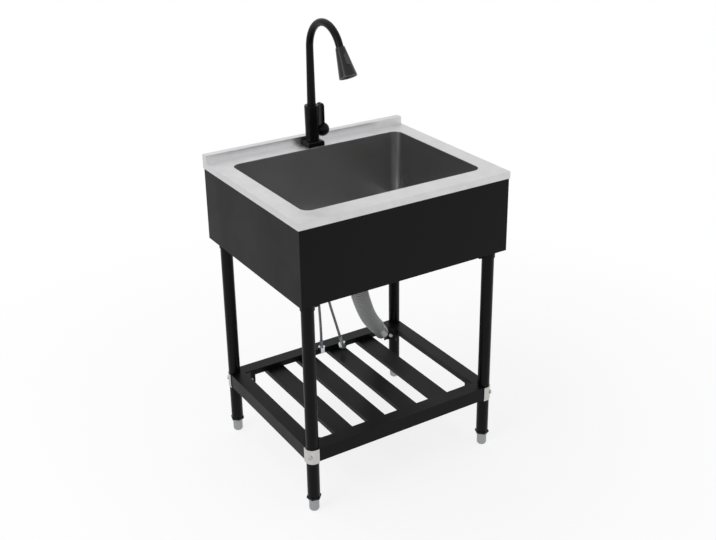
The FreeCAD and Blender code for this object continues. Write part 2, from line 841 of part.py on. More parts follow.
def make_clamp_plate(label):
    """A strap bent round the leg, its flat ends lying on the two rails. Its X points outwards."""
    body = new_body(label)
    inner = leg_radius + size.clamp_play
    outer = inner + size.clamp_sheet
    tab = size.clamp_tab
    strap = new_sketch(body, "strap", "XY_Plane", clamp_middle - size.clamp_height / 2)
    none = 0 * tab
    outline(
        strap,
        [
            diagonal_point(outer, tab, -1),
            (*diagonal_point(outer, none, -1), outer),
            diagonal_point(outer, none, 1),
            diagonal_point(outer, tab, 1),
            diagonal_point(inner, tab, 1),
            (*diagonal_point(inner, none, 1), -inner),
            diagonal_point(inner, none, -1),
            diagonal_point(inner, tab, -1),
        ],
    )
    pad(body, strap, size.clamp_height)
    hole = new_sketch(body, "screw_hole", "YZ_Plane")
    circle(hole, size.clamp_screw / 2 + size.clamp_play, 0, clamp_middle)
    pocket(body, hole)
    return body


def bracket_place():
    """How far behind the leg axis the bracket's slanting plate lies."""
    inner_corner = (size.rail_width - leg_radius + size.panel_gap / 5) * math.sqrt(2)
    return inner_corner + size.bracket_reach * DIAGONAL


def make_shelf_bracket(label):
    """A strip bent across the inside of a shelf corner, with a flat web on top."""
    body = new_body(label)
    face = -(size.rail_width - leg_radius) - size.panel_gap / 5
    reach = -face + size.bracket_reach
    end = reach + size.bracket_wing
    sheet_ = size.bracket_sheet
    high = size.shelf_top - size.rail_sheet
    strip = new_sketch(body, "strip", "XY_Plane", shelf_bottom)
    corner = sheet_ * (math.sqrt(2) - 1)
    outline(
        strip,
        [
            diagonal_point(face, reach, -1),
            diagonal_point(face, end, -1),
            diagonal_point(face - sheet_, end, -1),
            diagonal_point(face - sheet_, reach + corner, -1),
            diagonal_point(face - sheet_, reach + corner, 1),
            diagonal_point(face - sheet_, end, 1),
            diagonal_point(face, end, 1),
            diagonal_point(face, reach, 1),
        ],
    )
    pad(body, strip, high - shelf_bottom)
    web = new_sketch(body, "web", "XY_Plane", high - sheet_)
    tip = -face + size.panel_gap
    outline(
        web,
        [
            diagonal_point(face, tip, -1),
            diagonal_point(face, reach, -1),
            diagonal_point(face, reach, 1),
        ],
    )
    pad(body, web, sheet_)
    hole = new_sketch(body, "screw_hole", "YZ_Plane")
    circle(hole, size.clamp_screw / 2 + size.clamp_play, 0, clamp_middle)
    pocket(body, hole)
    return body


def make_clamp_screw(label):
    """A pan-head screw through clamp, leg and bracket. Its X points outwards."""
    body = new_body(label)
    seat = leg_radius + size.clamp_play + size.clamp_sheet
    tip = -(bracket_place() + size.bracket_sheet + size.clamp_nut_height + 2)
    head = new_sketch(body, "head", "YZ_Plane", seat)
    circle(head, size.clamp_head / 2, 0, clamp_middle)
    cap = pad(body, head, size.clamp_head_height)
    outer = value_of(seat + size.clamp_head_height)
    rim = edges_where(cap, lambda edge: abs(edge.BoundBox.XMin - outer) < 0.01)
    dress("Fillet", body, cap, rim, size.clamp_head_height * 0.4)
    shaft = new_sketch(body, "shaft", "YZ_Plane", tip)
    circle(shaft, size.clamp_screw / 2, 0, clamp_middle)
    pad(body, shaft, seat - tip)
    return body


def make_clamp_nut(label):
    body = new_body(label)
    place_x = -(bracket_place() + size.bracket_sheet)
    corner = size.clamp_nut_flats / math.sqrt(3)
    angles = [math.radians(60 * side) for side in range(6)]
    ring = new_sketch(body, "ring", "YZ_Plane", place_x)
    outline(ring, [(corner * math.cos(a), corner * math.sin(a) + clamp_middle) for a in angles])
    circle(ring, size.clamp_screw / 2 + size.socket_play / 2, 0, clamp_middle)
    pad(body, ring, size.clamp_nut_height, flip=True)
    return body


def make_shelf():
    place(make_rail("shelf_rail_front", leg_x * 2), 0, -rail_outer_y, 0, 0)
    place(make_rail("shelf_rail_rear", leg_x * 2), 0, rail_outer_y, 0, 180)
    place(make_rail("shelf_rail_left", leg_y * 2), -rail_outer_x, 0, 0, -90)
    place(make_rail("shelf_rail_right", leg_y * 2), rail_outer_x, 0, 0, 90)
    slats = 4
    for index in range(slats):
        offset = size.slat_pitch * (index - (slats - 1) / 2)
        place(make_slat(f"shelf_slat_{index + 1}"), offset)
    for corner in CORNERS:
        place_at_corner(make_clamp_plate(f"clamp_plate_{corner[0]}"), corner, OUTWARD)
    corner_group("shelf_brackets", make_shelf_bracket)
    corner_group("clamp_screws", make_clamp_screw)
    corner_group("clamp_nuts", make_clamp_nut)


# ---------------------------------------------------------------- tap

plate_low = size.height + size.gasket_height
plate_top = plate_low + size.plate_height
body_top = plate_top + size.body_height
hub_z = plate_top + size.hub_rise
shank_radius = size.shank_diameter / 2
shank_bore = shank_radius - size.shank_wall
tail_top = plate_top + size.shank_grip + 5
ALONG_X = (Vector(0, 1, 0), 90)


def make_tap_plate():
    body = new_body("tap_base_plate")
    block = new_sketch(body, "block", "XY_Plane", plate_low)
    half_x = size.plate_width / 2
    half_y = size.plate_depth / 2
    rectangle(block, -half_x, half_x, -half_y, half_y)
    slab = pad(body, block, size.plate_height)
    top_edges = edges_where(slab, is_level_at(value_of(plate_top)))
    dress("Chamfer", body, slab, top_edges, size.plate_chamfer)
    hole = new_sketch(body, "hole", "XY_Plane", plate_low)
    circle(hole, shank_radius + size.shank_play)
    pocket(body, hole)
    place(body, 0, tap_y)

    gasket = new_body("tap_gasket")
    sheet_ = new_sketch(gasket, "sheet", "XY_Plane", size.height)
    rectangle(
        sheet_,
        size.gasket_margin - half_x,
        half_x - size.gasket_margin,
        size.gasket_margin - half_y,
        half_y - size.gasket_margin,
    )
    circle(sheet_, shank_radius + size.shank_play)
    pad(gasket, sheet_, size.gasket_height)
    place(gasket, 0, tap_y)


def make_tap_body():
    """A tapered casting with a ball at its side that holds the cartridge."""
    bore = size.spray_hose_radius + size.shank_play
    socket = size.spigot_radius + size.spigot_play
    socket_floor = body_top - size.spigot_length
    grip = plate_top + size.shank_grip
    edge = 1.5
    body = turned(
        "tap_body",
        [
            (shank_radius, plate_top),
            (size.body_foot_radius, plate_top),
            (size.body_top_radius, body_top - edge),
            (size.body_top_radius - edge, body_top),
            (socket, body_top),
            (socket, socket_floor),
            (bore, socket_floor),
            (bore, tail_top),
            (shank_bore, tail_top),
            (shank_bore, grip),
            (shank_radius, grip),
        ],
    )
    neck_start = size.body_foot_radius - 6
    primitive("AdditiveCylinder", body, "neck", (neck_start, 0, hub_z), ALONG_X,
              Radius=size.ball_neck, Height=size.hub_out - neck_start)
    primitive("AdditiveSphere", body, "ball", (size.hub_out, 0, hub_z), Radius=size.ball_radius)
    primitive("SubtractiveCylinder", body, "cartridge_bore", (cartridge_start, 0, hub_z), ALONG_X,
              Radius=size.cartridge_radius, Height=size.ball_radius * 2)
    place(body, 0, tap_y)


cartridge_start = size.hub_out - size.ball_radius * 0.7


def make_cartridge():
    """The turning core, with a slot in which the lever's stem tilts."""
    body = new_body("cartridge")
    radius = size.cartridge_radius - size.cartridge_play
    length = size.ball_radius * 1.45
    primitive("AdditiveCylinder", body, "core", (cartridge_start, 0, hub_z), ALONG_X,
              Radius=radius, Height=length)
    slot = size.stem_size / 2 + size.stem_play
    primitive("SubtractiveBox", body, "slot",
              (size.hub_out - 4, -slot, hub_z - size.cartridge_radius - 1),
              Length=length, Width=slot * 2, Height=size.cartridge_radius * 2 + 2)
    place(body, 0, tap_y)


def make_lever():
    """A round hub open towards the tap, a flat upright handle and a stem into the cartridge.

    Its own frame has its origin at the middle of the ball, with X outwards.
    """
    body = new_body("lever")
    hollow = size.ball_radius + size.ball_play
    outside = hollow + size.hub_wall
    back = -size.hub_back
    shell = new_sketch(body, "shell", "XZ_Plane")
    outline(
        shell,
        [
            (back, root(hollow * hollow - back * back)),
            (hollow, 0 * hollow),
            (outside, 0 * hollow),
            (back, root(outside * outside - back * back)),
        ],
        [(0, -hollow), (2, outside)],
    )
    revolve(body, shell, axis="H_Axis")
    half = size.lever_width / 2
    foot = half - 4
    low = hollow + size.hub_wall / 4
    top = size.lever_height
    radius = size.lever_radius
    handle = new_sketch(body, "handle", "YZ_Plane", back)
    outline(
        handle,
        [
            (-foot, low),
            (foot, low),
            (half, top - radius, radius),
            (half - radius, top),
            (radius - half, top, radius),
            (-half, top - radius),
        ],
    )
    pad(body, handle, size.lever_thickness)
    slant = new_sketch(body, "slant", "XZ_Plane")
    outer = back + size.lever_thickness
    clear = outer + size.lever_slant
    outline(
        slant,
        [
            (outer, low + size.lever_slant),
            (clear, low + size.lever_slant),
            (clear, top + size.lever_slant),
            (outer - size.lever_slant, top + size.lever_slant),
        ],
    )
    pocket(body, slant)
    stem = size.stem_size / 2
    shaft = new_sketch(body, "stem", "YZ_Plane", size.stem_size / 2)
    rectangle(shaft, -stem, stem, -stem, stem)
    pad(body, shaft, outside - size.stem_size / 2 - size.hub_wall / 2)
    place(body, size.hub_out, tap_y, hub_z)


def make_tap_fixings():
    """The threaded tail, the washer and the nut that hold the tap to the worktop."""
    body = new_body("tap_shank")
    ring = new_sketch(body, "ring", "XY_Plane", plate_top + size.shank_grip)
    circle(ring, shank_radius)
    circle(ring, shank_bore)
    pad(body, ring, size.shank_grip + size.shank_length, flip=True)
    place(body, 0, tap_y)

    washer = new_body("tap_washer")
    ring = new_sketch(washer, "ring", "XY_Plane", under_top)
    circle(ring, size.washer_radius)
    circle(ring, shank_radius + size.shank_play)
    pad(washer, ring, size.washer_height, flip=True)
    place(washer, 0, tap_y)

    nut = new_body("tap_lock_nut")
    ring = new_sketch(nut, "ring", "XY_Plane", under_top - size.washer_height)
    hexagon(ring, size.lock_flats)
    circle(ring, shank_radius + size.stud_play)
    pad(nut, ring, size.lock_height, flip=True)
    place(nut, 0, tap_y)


# The spout's centre line lies in the YZ plane of the tap's own frame: up the column, round two
# tangent bends towards the front and straight into the spray head.
spout_start = body_top + size.spout_column
turn = math.radians(value_of(size.spout_turn))
reach_x, drop_z = math.sin(turn), math.cos(turn)
crown_y = -size.spout_bend
crown_z = spout_start + size.spout_bend
bend_y = crown_y + size.spout_reach_bend * drop_z
bend_z = crown_z - size.spout_reach_bend * (1 - reach_x)
end_y = bend_y - size.spout_end * reach_x
end_z = bend_z + size.spout_end * drop_z


def spout_path(body, name):
    sketch = new_sketch(body, name, "YZ_Plane")
    zero = 0 * size.spout_bend

    def at(y, z):
        return Vector(value_of(y), value_of(z), 0)

    half = math.sqrt(0.5)
    first = value_of(size.spout_bend)
    second = value_of(size.spout_reach_bend)
    first_centre = at(crown_y, spout_start)
    second_centre = at(crown_y, crown_z - size.spout_reach_bend)
    between = (math.pi / 2 + turn) / 2
    middle = second_centre + Vector(math.cos(between), math.sin(between), 0) * second
    curves = [
        Part.Arc(at(zero, spout_start), first_centre + Vector(half, half, 0) * first, at(crown_y, crown_z)),
        Part.Arc(at(crown_y, crown_z), middle, at(bend_y, bend_z)),
        Part.LineSegment(at(bend_y, bend_z), at(end_y, end_z)),
    ]
    for curve in curves:
        sketch.addGeometry(curve, False)
    pin_point(sketch, 0, 1, zero, spout_start)
    pin_point(sketch, 0, 2, crown_y, crown_z)
    sketch.addConstraint(Sketcher.Constraint("Coincident", 0, 2, 1, 1))
    pin_point(sketch, 1, 2, bend_y, bend_z)
    sketch.addConstraint(Sketcher.Constraint("Coincident", 1, 2, 2, 1))
    pin_point(sketch, 2, 2, end_y, end_z)
    for curve, radius in ((0, size.spout_bend), (1, size.spout_reach_bend)):
        index = sketch.addConstraint(Sketcher.Constraint("Radius", curve, value_of(radius)))
        bind(sketch, f"Constraints[{index}]", radius)
    return sketch


def make_spout():
    """A tapering column with a spigot in the tap body, then a bent tube of steady width."""
    foot = body_top - size.spigot_length
    bore = size.spout_bore
    body = turned(
        "spout",
        [
            (bore, foot),
            (size.spigot_radius, foot),
            (size.spigot_radius, body_top),
            (size.spout_foot_radius, body_top),
            (size.spout_radius, spout_start),
            (bore, spout_start),
        ],
    )
    ring = new_sketch(body, "ring", "XY_Plane", spout_start)
    circle(ring, size.spout_radius)
    circle(ring, bore)
    path = spout_path(body, "path")
    bend = body.newObject("PartDesign::AdditivePipe", "spout_bend_pipe")
    bend.Profile = (ring, [""])
    bend.Spine = (path, [])
    place(body, 0, tap_y)


HEAD_TILT = 180 - value_of(size.spout_turn)


def place_head(item):
    """Puts a piece whose Z runs up the spray head's axis at the end of the spout."""
    item.Placement = FreeCAD.Placement(Vector(), FreeCAD.Rotation(Vector(1, 0, 0), -HEAD_TILT))
    bind(item, "Placement.Base.y", tap_y + end_y)
    bind(item, "Placement.Base.z", end_z)


head_slope = (size.head_end_radius - size.head_neck_radius) / size.head_length
head_angle = math.degrees(math.atan(value_of(head_slope)))


def button_sketch(body, name, grow, height):
    """An oblong on a plane that lies along the head's side, seen from the front of the head."""
    sketch = new_sketch(body, name, "XZ_Plane")
    half_across = size.button_width / 2 + grow
    half_along = size.button_length / 2 + grow
    radius = size.button_width * 0.42 + grow
    rounded_rectangle(sketch, -half_across, half_across, -half_along, half_along, radius)
    turned_up = FreeCAD.Rotation(Vector(1, 0, 0), -head_angle)
    sketch.AttachmentOffset = FreeCAD.Placement(Vector(), turned_up)
    surface = size.head_neck_radius + head_slope * size.button_place
    bind(sketch, "AttachmentOffset.Base.y", -size.button_place)
    bind(sketch, "AttachmentOffset.Base.z", surface + height)
    return sketch


def make_spray_head():
    """A flared shell with a dock neck, a waterway, a seat for the button and one for the face."""
    rim = size.head_end_radius
    seat = rim - size.head_wall
    length = size.head_length
    dock = size.spout_bore - size.dock_play
    bore = size.spray_hose_radius + size.dock_play
    recess = -length + size.face_recess
    chamber = -length + size.face_recess * 3
    waterway = size.spray_hose_bore
    body = turned(
        "spray_head",
        [
            (bore, size.dock_length),
            (bore, -size.spray_hose_seat),
            (waterway, -size.spray_hose_seat),
            (waterway, chamber),
            (seat - 4, recess),
            (seat, recess),
            (seat, -length),
            (rim, -length),
            (rim, -length + size.head_wall),
            (size.head_neck_radius, 0 * rim),
            (dock, 0 * rim),
            (dock, size.dock_length),
        ],
    )
    doc.recompute()
    before = body.Shape.Volume
    depth = size.button_height - size.button_proud + size.button_travel + size.button_play
    pocket(body, button_sketch(body, "button_seat", size.button_play, size.button_proud),
           depth + size.button_proud, "One side")
    doc.recompute()
    if not body.Shape.Volume < before - 100:
        raise RuntimeError("the button seat cuts nothing")
    place_head(body)


def make_spray_face():
    """The nozzle plate, with a hollow in its middle."""
    seat = size.head_end_radius - size.head_wall - size.face_play
    top = size.face_recess - size.head_length
    low = top - size.face_height
    body = turned(
        "spray_face",
        [
            (0 * seat, top),
            (0 * seat, low + size.face_height / 2),
            (size.aerator_radius, low + size.face_height / 2),
            (size.aerator_radius, low),
            (seat, low),
            (seat, top),
        ],
    )
    nozzle = new_sketch(body, "nozzle", "XY_Plane", low)
    circle(nozzle, 1, size.aerator_radius * 1.6)
    bump = pad(body, nozzle, 0.8, flip=True)
    ring = body.newObject("PartDesign::PolarPattern", "nozzle_ring")
    ring.Originals = [bump]
    ring.Axis = (nozzle, ["N_Axis"])
    ring.Angle = 360
    ring.Occurrences = 12
    body.Tip = ring
    place_head(body)


def make_spray_button():
    body = new_body("spray_button")
    block = button_sketch(body, "block", 0 * size.button_play, size.button_proud)
    pad(body, block, size.button_height, flip=True)
    place_head(body)


def tap_route():
    """The spray hose's centre line: from the foot of the tap, up the spout and into the head."""
    def at(y, z):
        return Vector(0, value_of(tap_y + y), value_of(z))

    half = math.sqrt(0.5)
    first = value_of(size.spout_bend)
    second = value_of(size.spout_reach_bend)
    between = (math.pi / 2 + turn) / 2
    first_middle = at(crown_y, spout_start) + Vector(0, half, half) * first
    second_middle = at(crown_y, crown_z - size.spout_reach_bend)
    second_middle += Vector(0, math.cos(between), math.sin(between)) * second
    seat = size.spray_hose_seat
    low = plate_top - size.shank_length
    return Part.Wire([
        Part.LineSegment(at(0, low), at(0, spout_start)).toShape(),
        Part.Arc(at(0, spout_start), first_middle, at(crown_y, crown_z)).toShape(),
        Part.Arc(at(crown_y, crown_z), second_middle, at(bend_y, bend_z)).toShape(),
        Part.LineSegment(at(bend_y, bend_z), at(end_y - seat * reach_x, end_z + seat * drop_z)).toShape(),
    ])


# ---------------------------------------------------------------- hoses


def rounded_route(points):
    """Straight runs joined by tangent arcs, and the arcs' radii.

    Each radius is 0.45 of the shorter run over the tangent of half the turn.
    """
    here = points[0]
    edges = []
    radii = []
    for before, corner, after in zip(points, points[1:], points[2:]):
        back = (before - corner).normalize()
        on = (after - corner).normalize()
        shorter = min((before - corner).Length, (after - corner).Length)
        half_turn = (math.pi - back.getAngle(on)) / 2
        cut = 0.45 * shorter
        radius = cut / math.tan(half_turn)
        start = corner + back * cut
        end = corner + on * cut
        centre = corner + (back + on).normalize() * (radius / math.cos(half_turn))
        middle = centre + (corner - centre).normalize() * radius
        edges.append(Part.LineSegment(here, start).toShape())
        edges.append(Part.Arc(start, middle, end).toShape())
        radii.append(radius)
        here = end
    edges.append(Part.LineSegment(here, points[-1]).toShape())
    return Part.Wire(edges), radii


def ring_at(point, direction, radius):
    return Part.Wire([Part.Circle(point, direction, radius).toShape()])


def tube_along(wire, radius):
    start = wire.Edges[0].firstVertex().Point
    direction = wire.Edges[0].tangentAt(wire.Edges[0].FirstParameter)
    return wire.makePipeShell([ring_at(start, direction, radius)], True, False)


def add_shape(label, shape):
    item = doc.addObject("Part::Feature", label)
    item.Label = label
    item.Shape = shape
    nodes.append(item)
    return item


def report_tube(label, shape, wire, area, radii):
    ratio = shape.Volume / (area * wire.Length)
    bends = ", ".join(f"{radius:.0f}" for radius in radii)
    print(f"{label}: length {wire.Length:.1f}, volume over section times length {ratio:.4f}, radii {bends}")


def make_spray_hose():
    wire = tap_route()
    outside = value_of(size.spray_hose_radius)
    bore = value_of(size.spray_hose_bore)
    shape = tube_along(wire, outside).cut(tube_along(wire, bore))
    add_shape("spray_hose", shape)
    bends = [value_of(size.spout_bend), value_of(size.spout_reach_bend)]
    report_tube("spray_hose", shape, wire, math.pi * (outside**2 - bore**2), bends)


def hung_points(start, rest, level, drawn_drop):
    """A hose's points: its start, then points given across, back and down from a level.

    The drops were drawn for drawn_drop from that level to the shelf, and follow its change.
    """
    top = value_of(level)
    share = (top - value_of(size.shelf_top)) / drawn_drop
    return [start] + [Vector(x, start.y + y, top - drop * share) for x, y, drop in rest]


def tail_points(side, rest):
    """A supply hose: straight out of the tap, then the points that it hangs through."""
    start = Vector(side * value_of(size.tail_offset), value_of(tap_y), value_of(tail_top))
    return hung_points(start, rest, size.height + 0, 613)


SUPPLY_ROUTES = {
    "cold": tail_points(-1, [
        (-8.6, 0, 72), (-10, -1, 176), (-11, -6, 278), (-9, -12.5, 370),
        (-7, -18.5, 460), (-5.5, -22.7, 538), (-5.6, -23.8, 580),
    ]),
    "hot": tail_points(1, [
        (8.6, 0, 72), (10, -1, 176), (11, -5, 278), (14, -11, 370),
        (23, -19, 458), (38, -30, 528), (48.5, -37.5, 578),
    ]),
}


def make_supply_hose(name):
    """The hose, the crimped sleeve on its end and the loose nut that the sleeve's head holds."""
    points = SUPPLY_ROUTES[name]
    wire, radii = rounded_route(points)
    radius = value_of(size.tail_radius)
    shape = tube_along(wire, radius)
    add_shape(f"supply_hose_{name}", shape)
    report_tube(f"supply_hose_{name}", shape, wire, math.pi * radius**2, radii)

    lip = size.nut_lip
    neck = size.tail_radius
    ferrule = turned(
        f"supply_ferrule_{name}",
        [
            (0 * lip, 0 * lip),
            (size.ferrule_radius, 0 * lip),
            (size.ferrule_radius, size.ferrule_length),
            (neck, size.ferrule_length),
            (neck, size.ferrule_length + lip * 2),
            (size.nut_bore - lip / 2, size.ferrule_length + lip * 2),
            (size.nut_bore - lip / 2, size.ferrule_length + lip * 3),
            (0 * lip, size.ferrule_length + lip * 3),
        ],
    )
    nut = new_body(f"supply_nut_{name}")
    ring = new_sketch(nut, "ring", "XY_Plane", size.ferrule_length + lip)
    hexagon(ring, size.nut_flats)
    pad(nut, ring, size.nut_length)
    relief = new_sketch(nut, "relief", "XY_Plane", size.ferrule_length + lip * 2)
    circle(relief, size.nut_bore - lip / 4)
    pocket(nut, relief, size.nut_length, "One side", flip=True)
    thread = new_sketch(nut, "thread", "XY_Plane", size.ferrule_length + lip * 3 + size.nut_relief)
    circle(thread, size.nut_bore)
    pocket(nut, thread, size.nut_length, "One side", flip=True)
    hole = new_sketch(nut, "hole", "XY_Plane")
    circle(hole, neck + size.shank_play)
    pocket(nut, hole)
    along = (points[-1] - points[-2]).normalize()
    down = FreeCAD.Rotation(Vector(0, 0, 1), along)
    for item in (ferrule, nut):
        item.Placement = FreeCAD.Placement(points[-1], down)


# ---------------------------------------------------------------- drain


def make_strainer():
    """The cup that hangs in the bowl floor, its gasket and ring nut, and the basket inside."""
    flange_top = bowl_floor + size.drain_flange_sheet
    cup = size.cup_radius
    inner = cup - size.cup_wall
    cup_low = bowl_floor - size.cup_depth
    floor = cup_low + size.cup_wall
    outlet_low = cup_low - size.outlet_length
    body = turned(
        "strainer_body",
        [
            (size.outlet_bore, outlet_low),
            (size.outlet_radius, outlet_low),
            (size.outlet_radius, cup_low),
            (cup - 3, cup_low),
            (cup, cup_low + 3),
            (cup, bowl_floor),
            (size.drain_flange, bowl_floor),
            (size.drain_flange, bowl_floor + size.drain_flange_sheet / 2),
            (inner + 4, flange_top),
            (inner, flange_top - 3),
            (inner, floor),
            (size.outlet_bore, floor),
        ],
    )
    for name, flat in (("bar_x", True), ("bar_y", False)):
        bar = new_sketch(body, name, "XY_Plane", cup_low)
        long = size.outlet_bore + 1
        short = size.cup_wall
        if flat:
            rectangle(bar, -long, long, -short, short)
        else:
            rectangle(bar, -short, short, -long, long)
        pad(body, bar, size.cup_wall)
    place(body, 0, bowl_middle)

    under = bowl_floor - size.bowl_sheet
    gasket = new_body("drain_gasket")
    ring = new_sketch(gasket, "ring", "XY_Plane", under)
    circle(ring, size.drain_nut_radius + 1)
    circle(ring, cup + size.shank_play)
    pad(gasket, ring, size.drain_gasket_height, flip=True)
    place(gasket, 0, bowl_middle)

    nut = new_body("drain_lock_nut")
    ring = new_sketch(nut, "ring", "XY_Plane", under - size.drain_gasket_height)
    circle(ring, size.drain_nut_radius)
    circle(ring, cup + size.coupling_play)
    pad(nut, ring, size.drain_nut_height, flip=True)
    lug = new_sketch(nut, "lug", "XY_Plane", under - size.drain_gasket_height)
    reach = size.drain_nut_radius + 4
    rectangle(lug, size.drain_nut_radius - 2, reach, -4 * size.bowl_sheet, 4 * size.bowl_sheet)
    first = pad(nut, lug, size.drain_nut_height, flip=True)
    lugs = nut.newObject("PartDesign::PolarPattern", "lugs")
    lugs.Originals = [first]
    lugs.Axis = (lug, ["N_Axis"])
    lugs.Angle = 360
    lugs.Occurrences = 6
    nut.Tip = lugs
    place(nut, 0, bowl_middle)


def make_basket():
    """A perforated cup with a knob, standing on the cup's floor."""
    outer = size.cup_radius - size.cup_wall - size.basket_play
    low = bowl_floor - size.cup_depth + size.cup_wall
    top = low + size.basket_depth
    sheet_ = size.basket_sheet
    knob = size.knob_radius
    narrow = outer - 7
    body = turned(
        "strainer_basket",
        [
            (0 * low, low),
            (narrow, low),
            (outer, top),
            (outer - sheet_, top),
            (narrow - sheet_, low + sheet_),
            (knob / 2, low + sheet_),
            (knob / 2, top - 2),
            (knob, top + 2),
            (knob, top + 6),
            (0 * low, top + 6),
        ],
    )
    hole = new_sketch(body, "hole", "XY_Plane", low - 1)
    circle(hole, 2.6, narrow - 8)
    cut = pocket(body, hole, sheet_ + 2, "One side", flip=True)
    doc.recompute()
    ring = body.newObject("PartDesign::PolarPattern", "basket_holes")
    ring.Originals = [cut]
    ring.Axis = (hole, ["N_Axis"])
    ring.Angle = 360
    ring.Occurrences = 12
    body.Tip = ring
    place(body, 0, bowl_middle)


coupling_top = bowl_floor - size.cup_depth - 3
collar_top = bowl_floor - size.cup_depth - size.outlet_length


def make_coupling_nut():
    """The nut that draws the hose's collar up to the strainer's outlet, with six flat wings."""
    low = coupling_top - size.coupling_height
    lip = collar_top - size.hose_collar
    bore = size.outlet_radius + size.coupling_play
    body = turned(
        "drain_coupling_nut",
        [
            (bore, coupling_top),
            (bore, lip),
            (size.hose_neck + size.coupling_play * 3, lip),
            (size.hose_neck + size.coupling_play * 3, low),
            (size.coupling_radius - 1, low),
            (size.coupling_radius, low + 1),
            (size.coupling_radius, coupling_top - 1),
            (size.coupling_radius - 1, coupling_top),
        ],
    )
    wing = new_sketch(body, "wing", "XY_Plane", low)
    edge = size.coupling_radius
    rectangle(wing, edge - 1.5, edge + 2, -2 * size.cup_wall, 2 * size.cup_wall)
    first = pad(body, wing, size.coupling_height)
    wings = body.newObject("PartDesign::PolarPattern", "wings")
    wings.Originals = [first]
    wings.Axis = (wing, ["N_Axis"])
    wings.Angle = 360
    wings.Occurrences = 6
    body.Tip = wings
    place(body, 0, bowl_middle)


def drain_points():
    """The drain hose: straight down from the strainer, then out towards the rear right leg."""
    start = Vector(0, value_of(bowl_middle), value_of(collar_top))
    rest = [
        (0, 0, 46), (12, 10, 96), (34, 28, 142), (62, 51, 193),
        (96, 79, 238), (131, 108, 276), (163, 134, 316),
    ]
    return hung_points(start, rest, collar_top, 351)


NECK_STEPS = 5   # rings of the drain hose's smooth neck, which follows the first bend
CUFF_STEPS = 5   # rings of its cuff, which follows the last bend


def make_drain_hose():
    """A ribbed hose: plain at both ends, ribs of one pitch between, and a bore right through.

    Each rib is four circles: valley, crest, crest, valley. Every circle's X lies square to the
    upright plane that the hose hangs in.
    """
    wire, radii = rounded_route(drain_points())
    ends = wire.Vertexes[0].Point, wire.Vertexes[-1].Point
    span = ends[1] - ends[0]
    steady = Vector(0, 0, 1).cross(Vector(span.x, span.y, 0)).normalize()

    lengths = [edge.Length for edge in wire.OrderedEdges]

    def ring_at_length(distance, radius):
        for edge, length in zip(wire.OrderedEdges, lengths):
            if distance <= length + 1e-6:
                parameter = edge.getParameterByLength(min(distance, length))
                point = edge.valueAt(parameter)
                direction = edge.tangentAt(parameter)
                break
            distance -= length
        side = (steady - direction * steady.dot(direction)).normalize()
        up = direction.cross(side)
        turn_matrix = FreeCAD.Rotation(side, up, direction, "ZXY")
        ring = Part.makeCircle(radius)
        ring.Placement = FreeCAD.Placement(point, turn_matrix)
        return Part.Wire([ring])

    neck = value_of(size.hose_neck)
    cuff = value_of(size.hose_cuff)
    wall = value_of(size.hose_wall)
    depth = value_of(size.rib_depth)
    pitch = value_of(size.rib_pitch)
    crest_at_top = value_of(size.hose_crest)
    crest_at_end = value_of(size.hose_end_crest)
    cuff_start = wire.Length - value_of(size.cuff_length)
    ribs = int((cuff_start - 2 * crest_at_top) / pitch)
    start = cuff_start - ribs * pitch

    outside = [(start * step / NECK_STEPS, neck) for step in range(NECK_STEPS + 1)]
    for rib in range(ribs):
        crest = crest_at_top + (crest_at_end - crest_at_top) * rib / (ribs - 1)
        valley = crest - depth
        foot = start + rib * pitch
        for share, radius in ((0.12, valley), (0.36, crest), (0.72, crest), (0.96, valley)):
            outside.append((foot + share * pitch, radius))
    for step in range(CUFF_STEPS + 1):
        outside.append((cuff_start + 1 + (wire.Length - cuff_start - 1) * step / CUFF_STEPS, cuff))
    tube = Part.makeLoft([ring_at_length(*station) for station in outside], True, True)
    last = wire.OrderedEdges[-1]
    along = (ends[1] - last.valueAt(last.FirstParameter)).normalize()
    mouth = Part.makeCylinder(cuff - wall, last.Length, ends[1], along * -1)
    shape = tube.cut(tube_along(wire, value_of(size.hose_bore))).cut(mouth)

    direction = Vector(0, 0, -1)
    collar = Part.makeCylinder(value_of(size.outlet_radius - 0.5), value_of(size.hose_collar), ends[0], direction)
    collar = collar.cut(Part.makeCylinder(value_of(size.hose_bore), value_of(size.hose_collar), ends[0], direction))
    shape = shape.fuse(collar)
    add_shape("drain_hose", shape)
    print(f"drain_hose: length {wire.Length:.1f}, ribs {ribs}, radii "
          + ", ".join(f"{radius:.0f}" for radius in radii))


# ---------------------------------------------------------------- the whole sink

make_worktop()
make_bowl()
make_skirt()
make_corner_stands()
make_shelf()
make_tap_plate()
make_tap_body()
make_cartridge()
make_lever()
make_tap_fixings()
make_spout()
make_spray_head()
make_spray_face()
make_spray_button()
make_spray_hose()
for supply in SUPPLY_ROUTES:
    make_supply_hose(supply)
make_strainer()
make_basket()
make_coupling_nut()
make_drain_hose()

doc.recompute()
faults = []
for item in doc.Objects:
    if "Invalid" in item.State or "Error" in item.State:
        faults.append(f"{item.Label} failed: {item.State}")
for node in nodes:
    if node.Shape.isNull() or not node.Shape.isValid():
        faults.append(f"{node.Label} has no valid shape")
    elif not node.Shape.Solids:
        faults.append(f"{node.Label} has no solid")
if faults:
    raise RuntimeError("\n".join(faults))

os.makedirs("parts", exist_ok=True)
for node in nodes:
    node.Shape.exportStep(f"parts/{node.Label}.step")
print(len(nodes), "nodes written")
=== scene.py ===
import math

import bpy
import numpy as np
from mathutils import Matrix, Vector


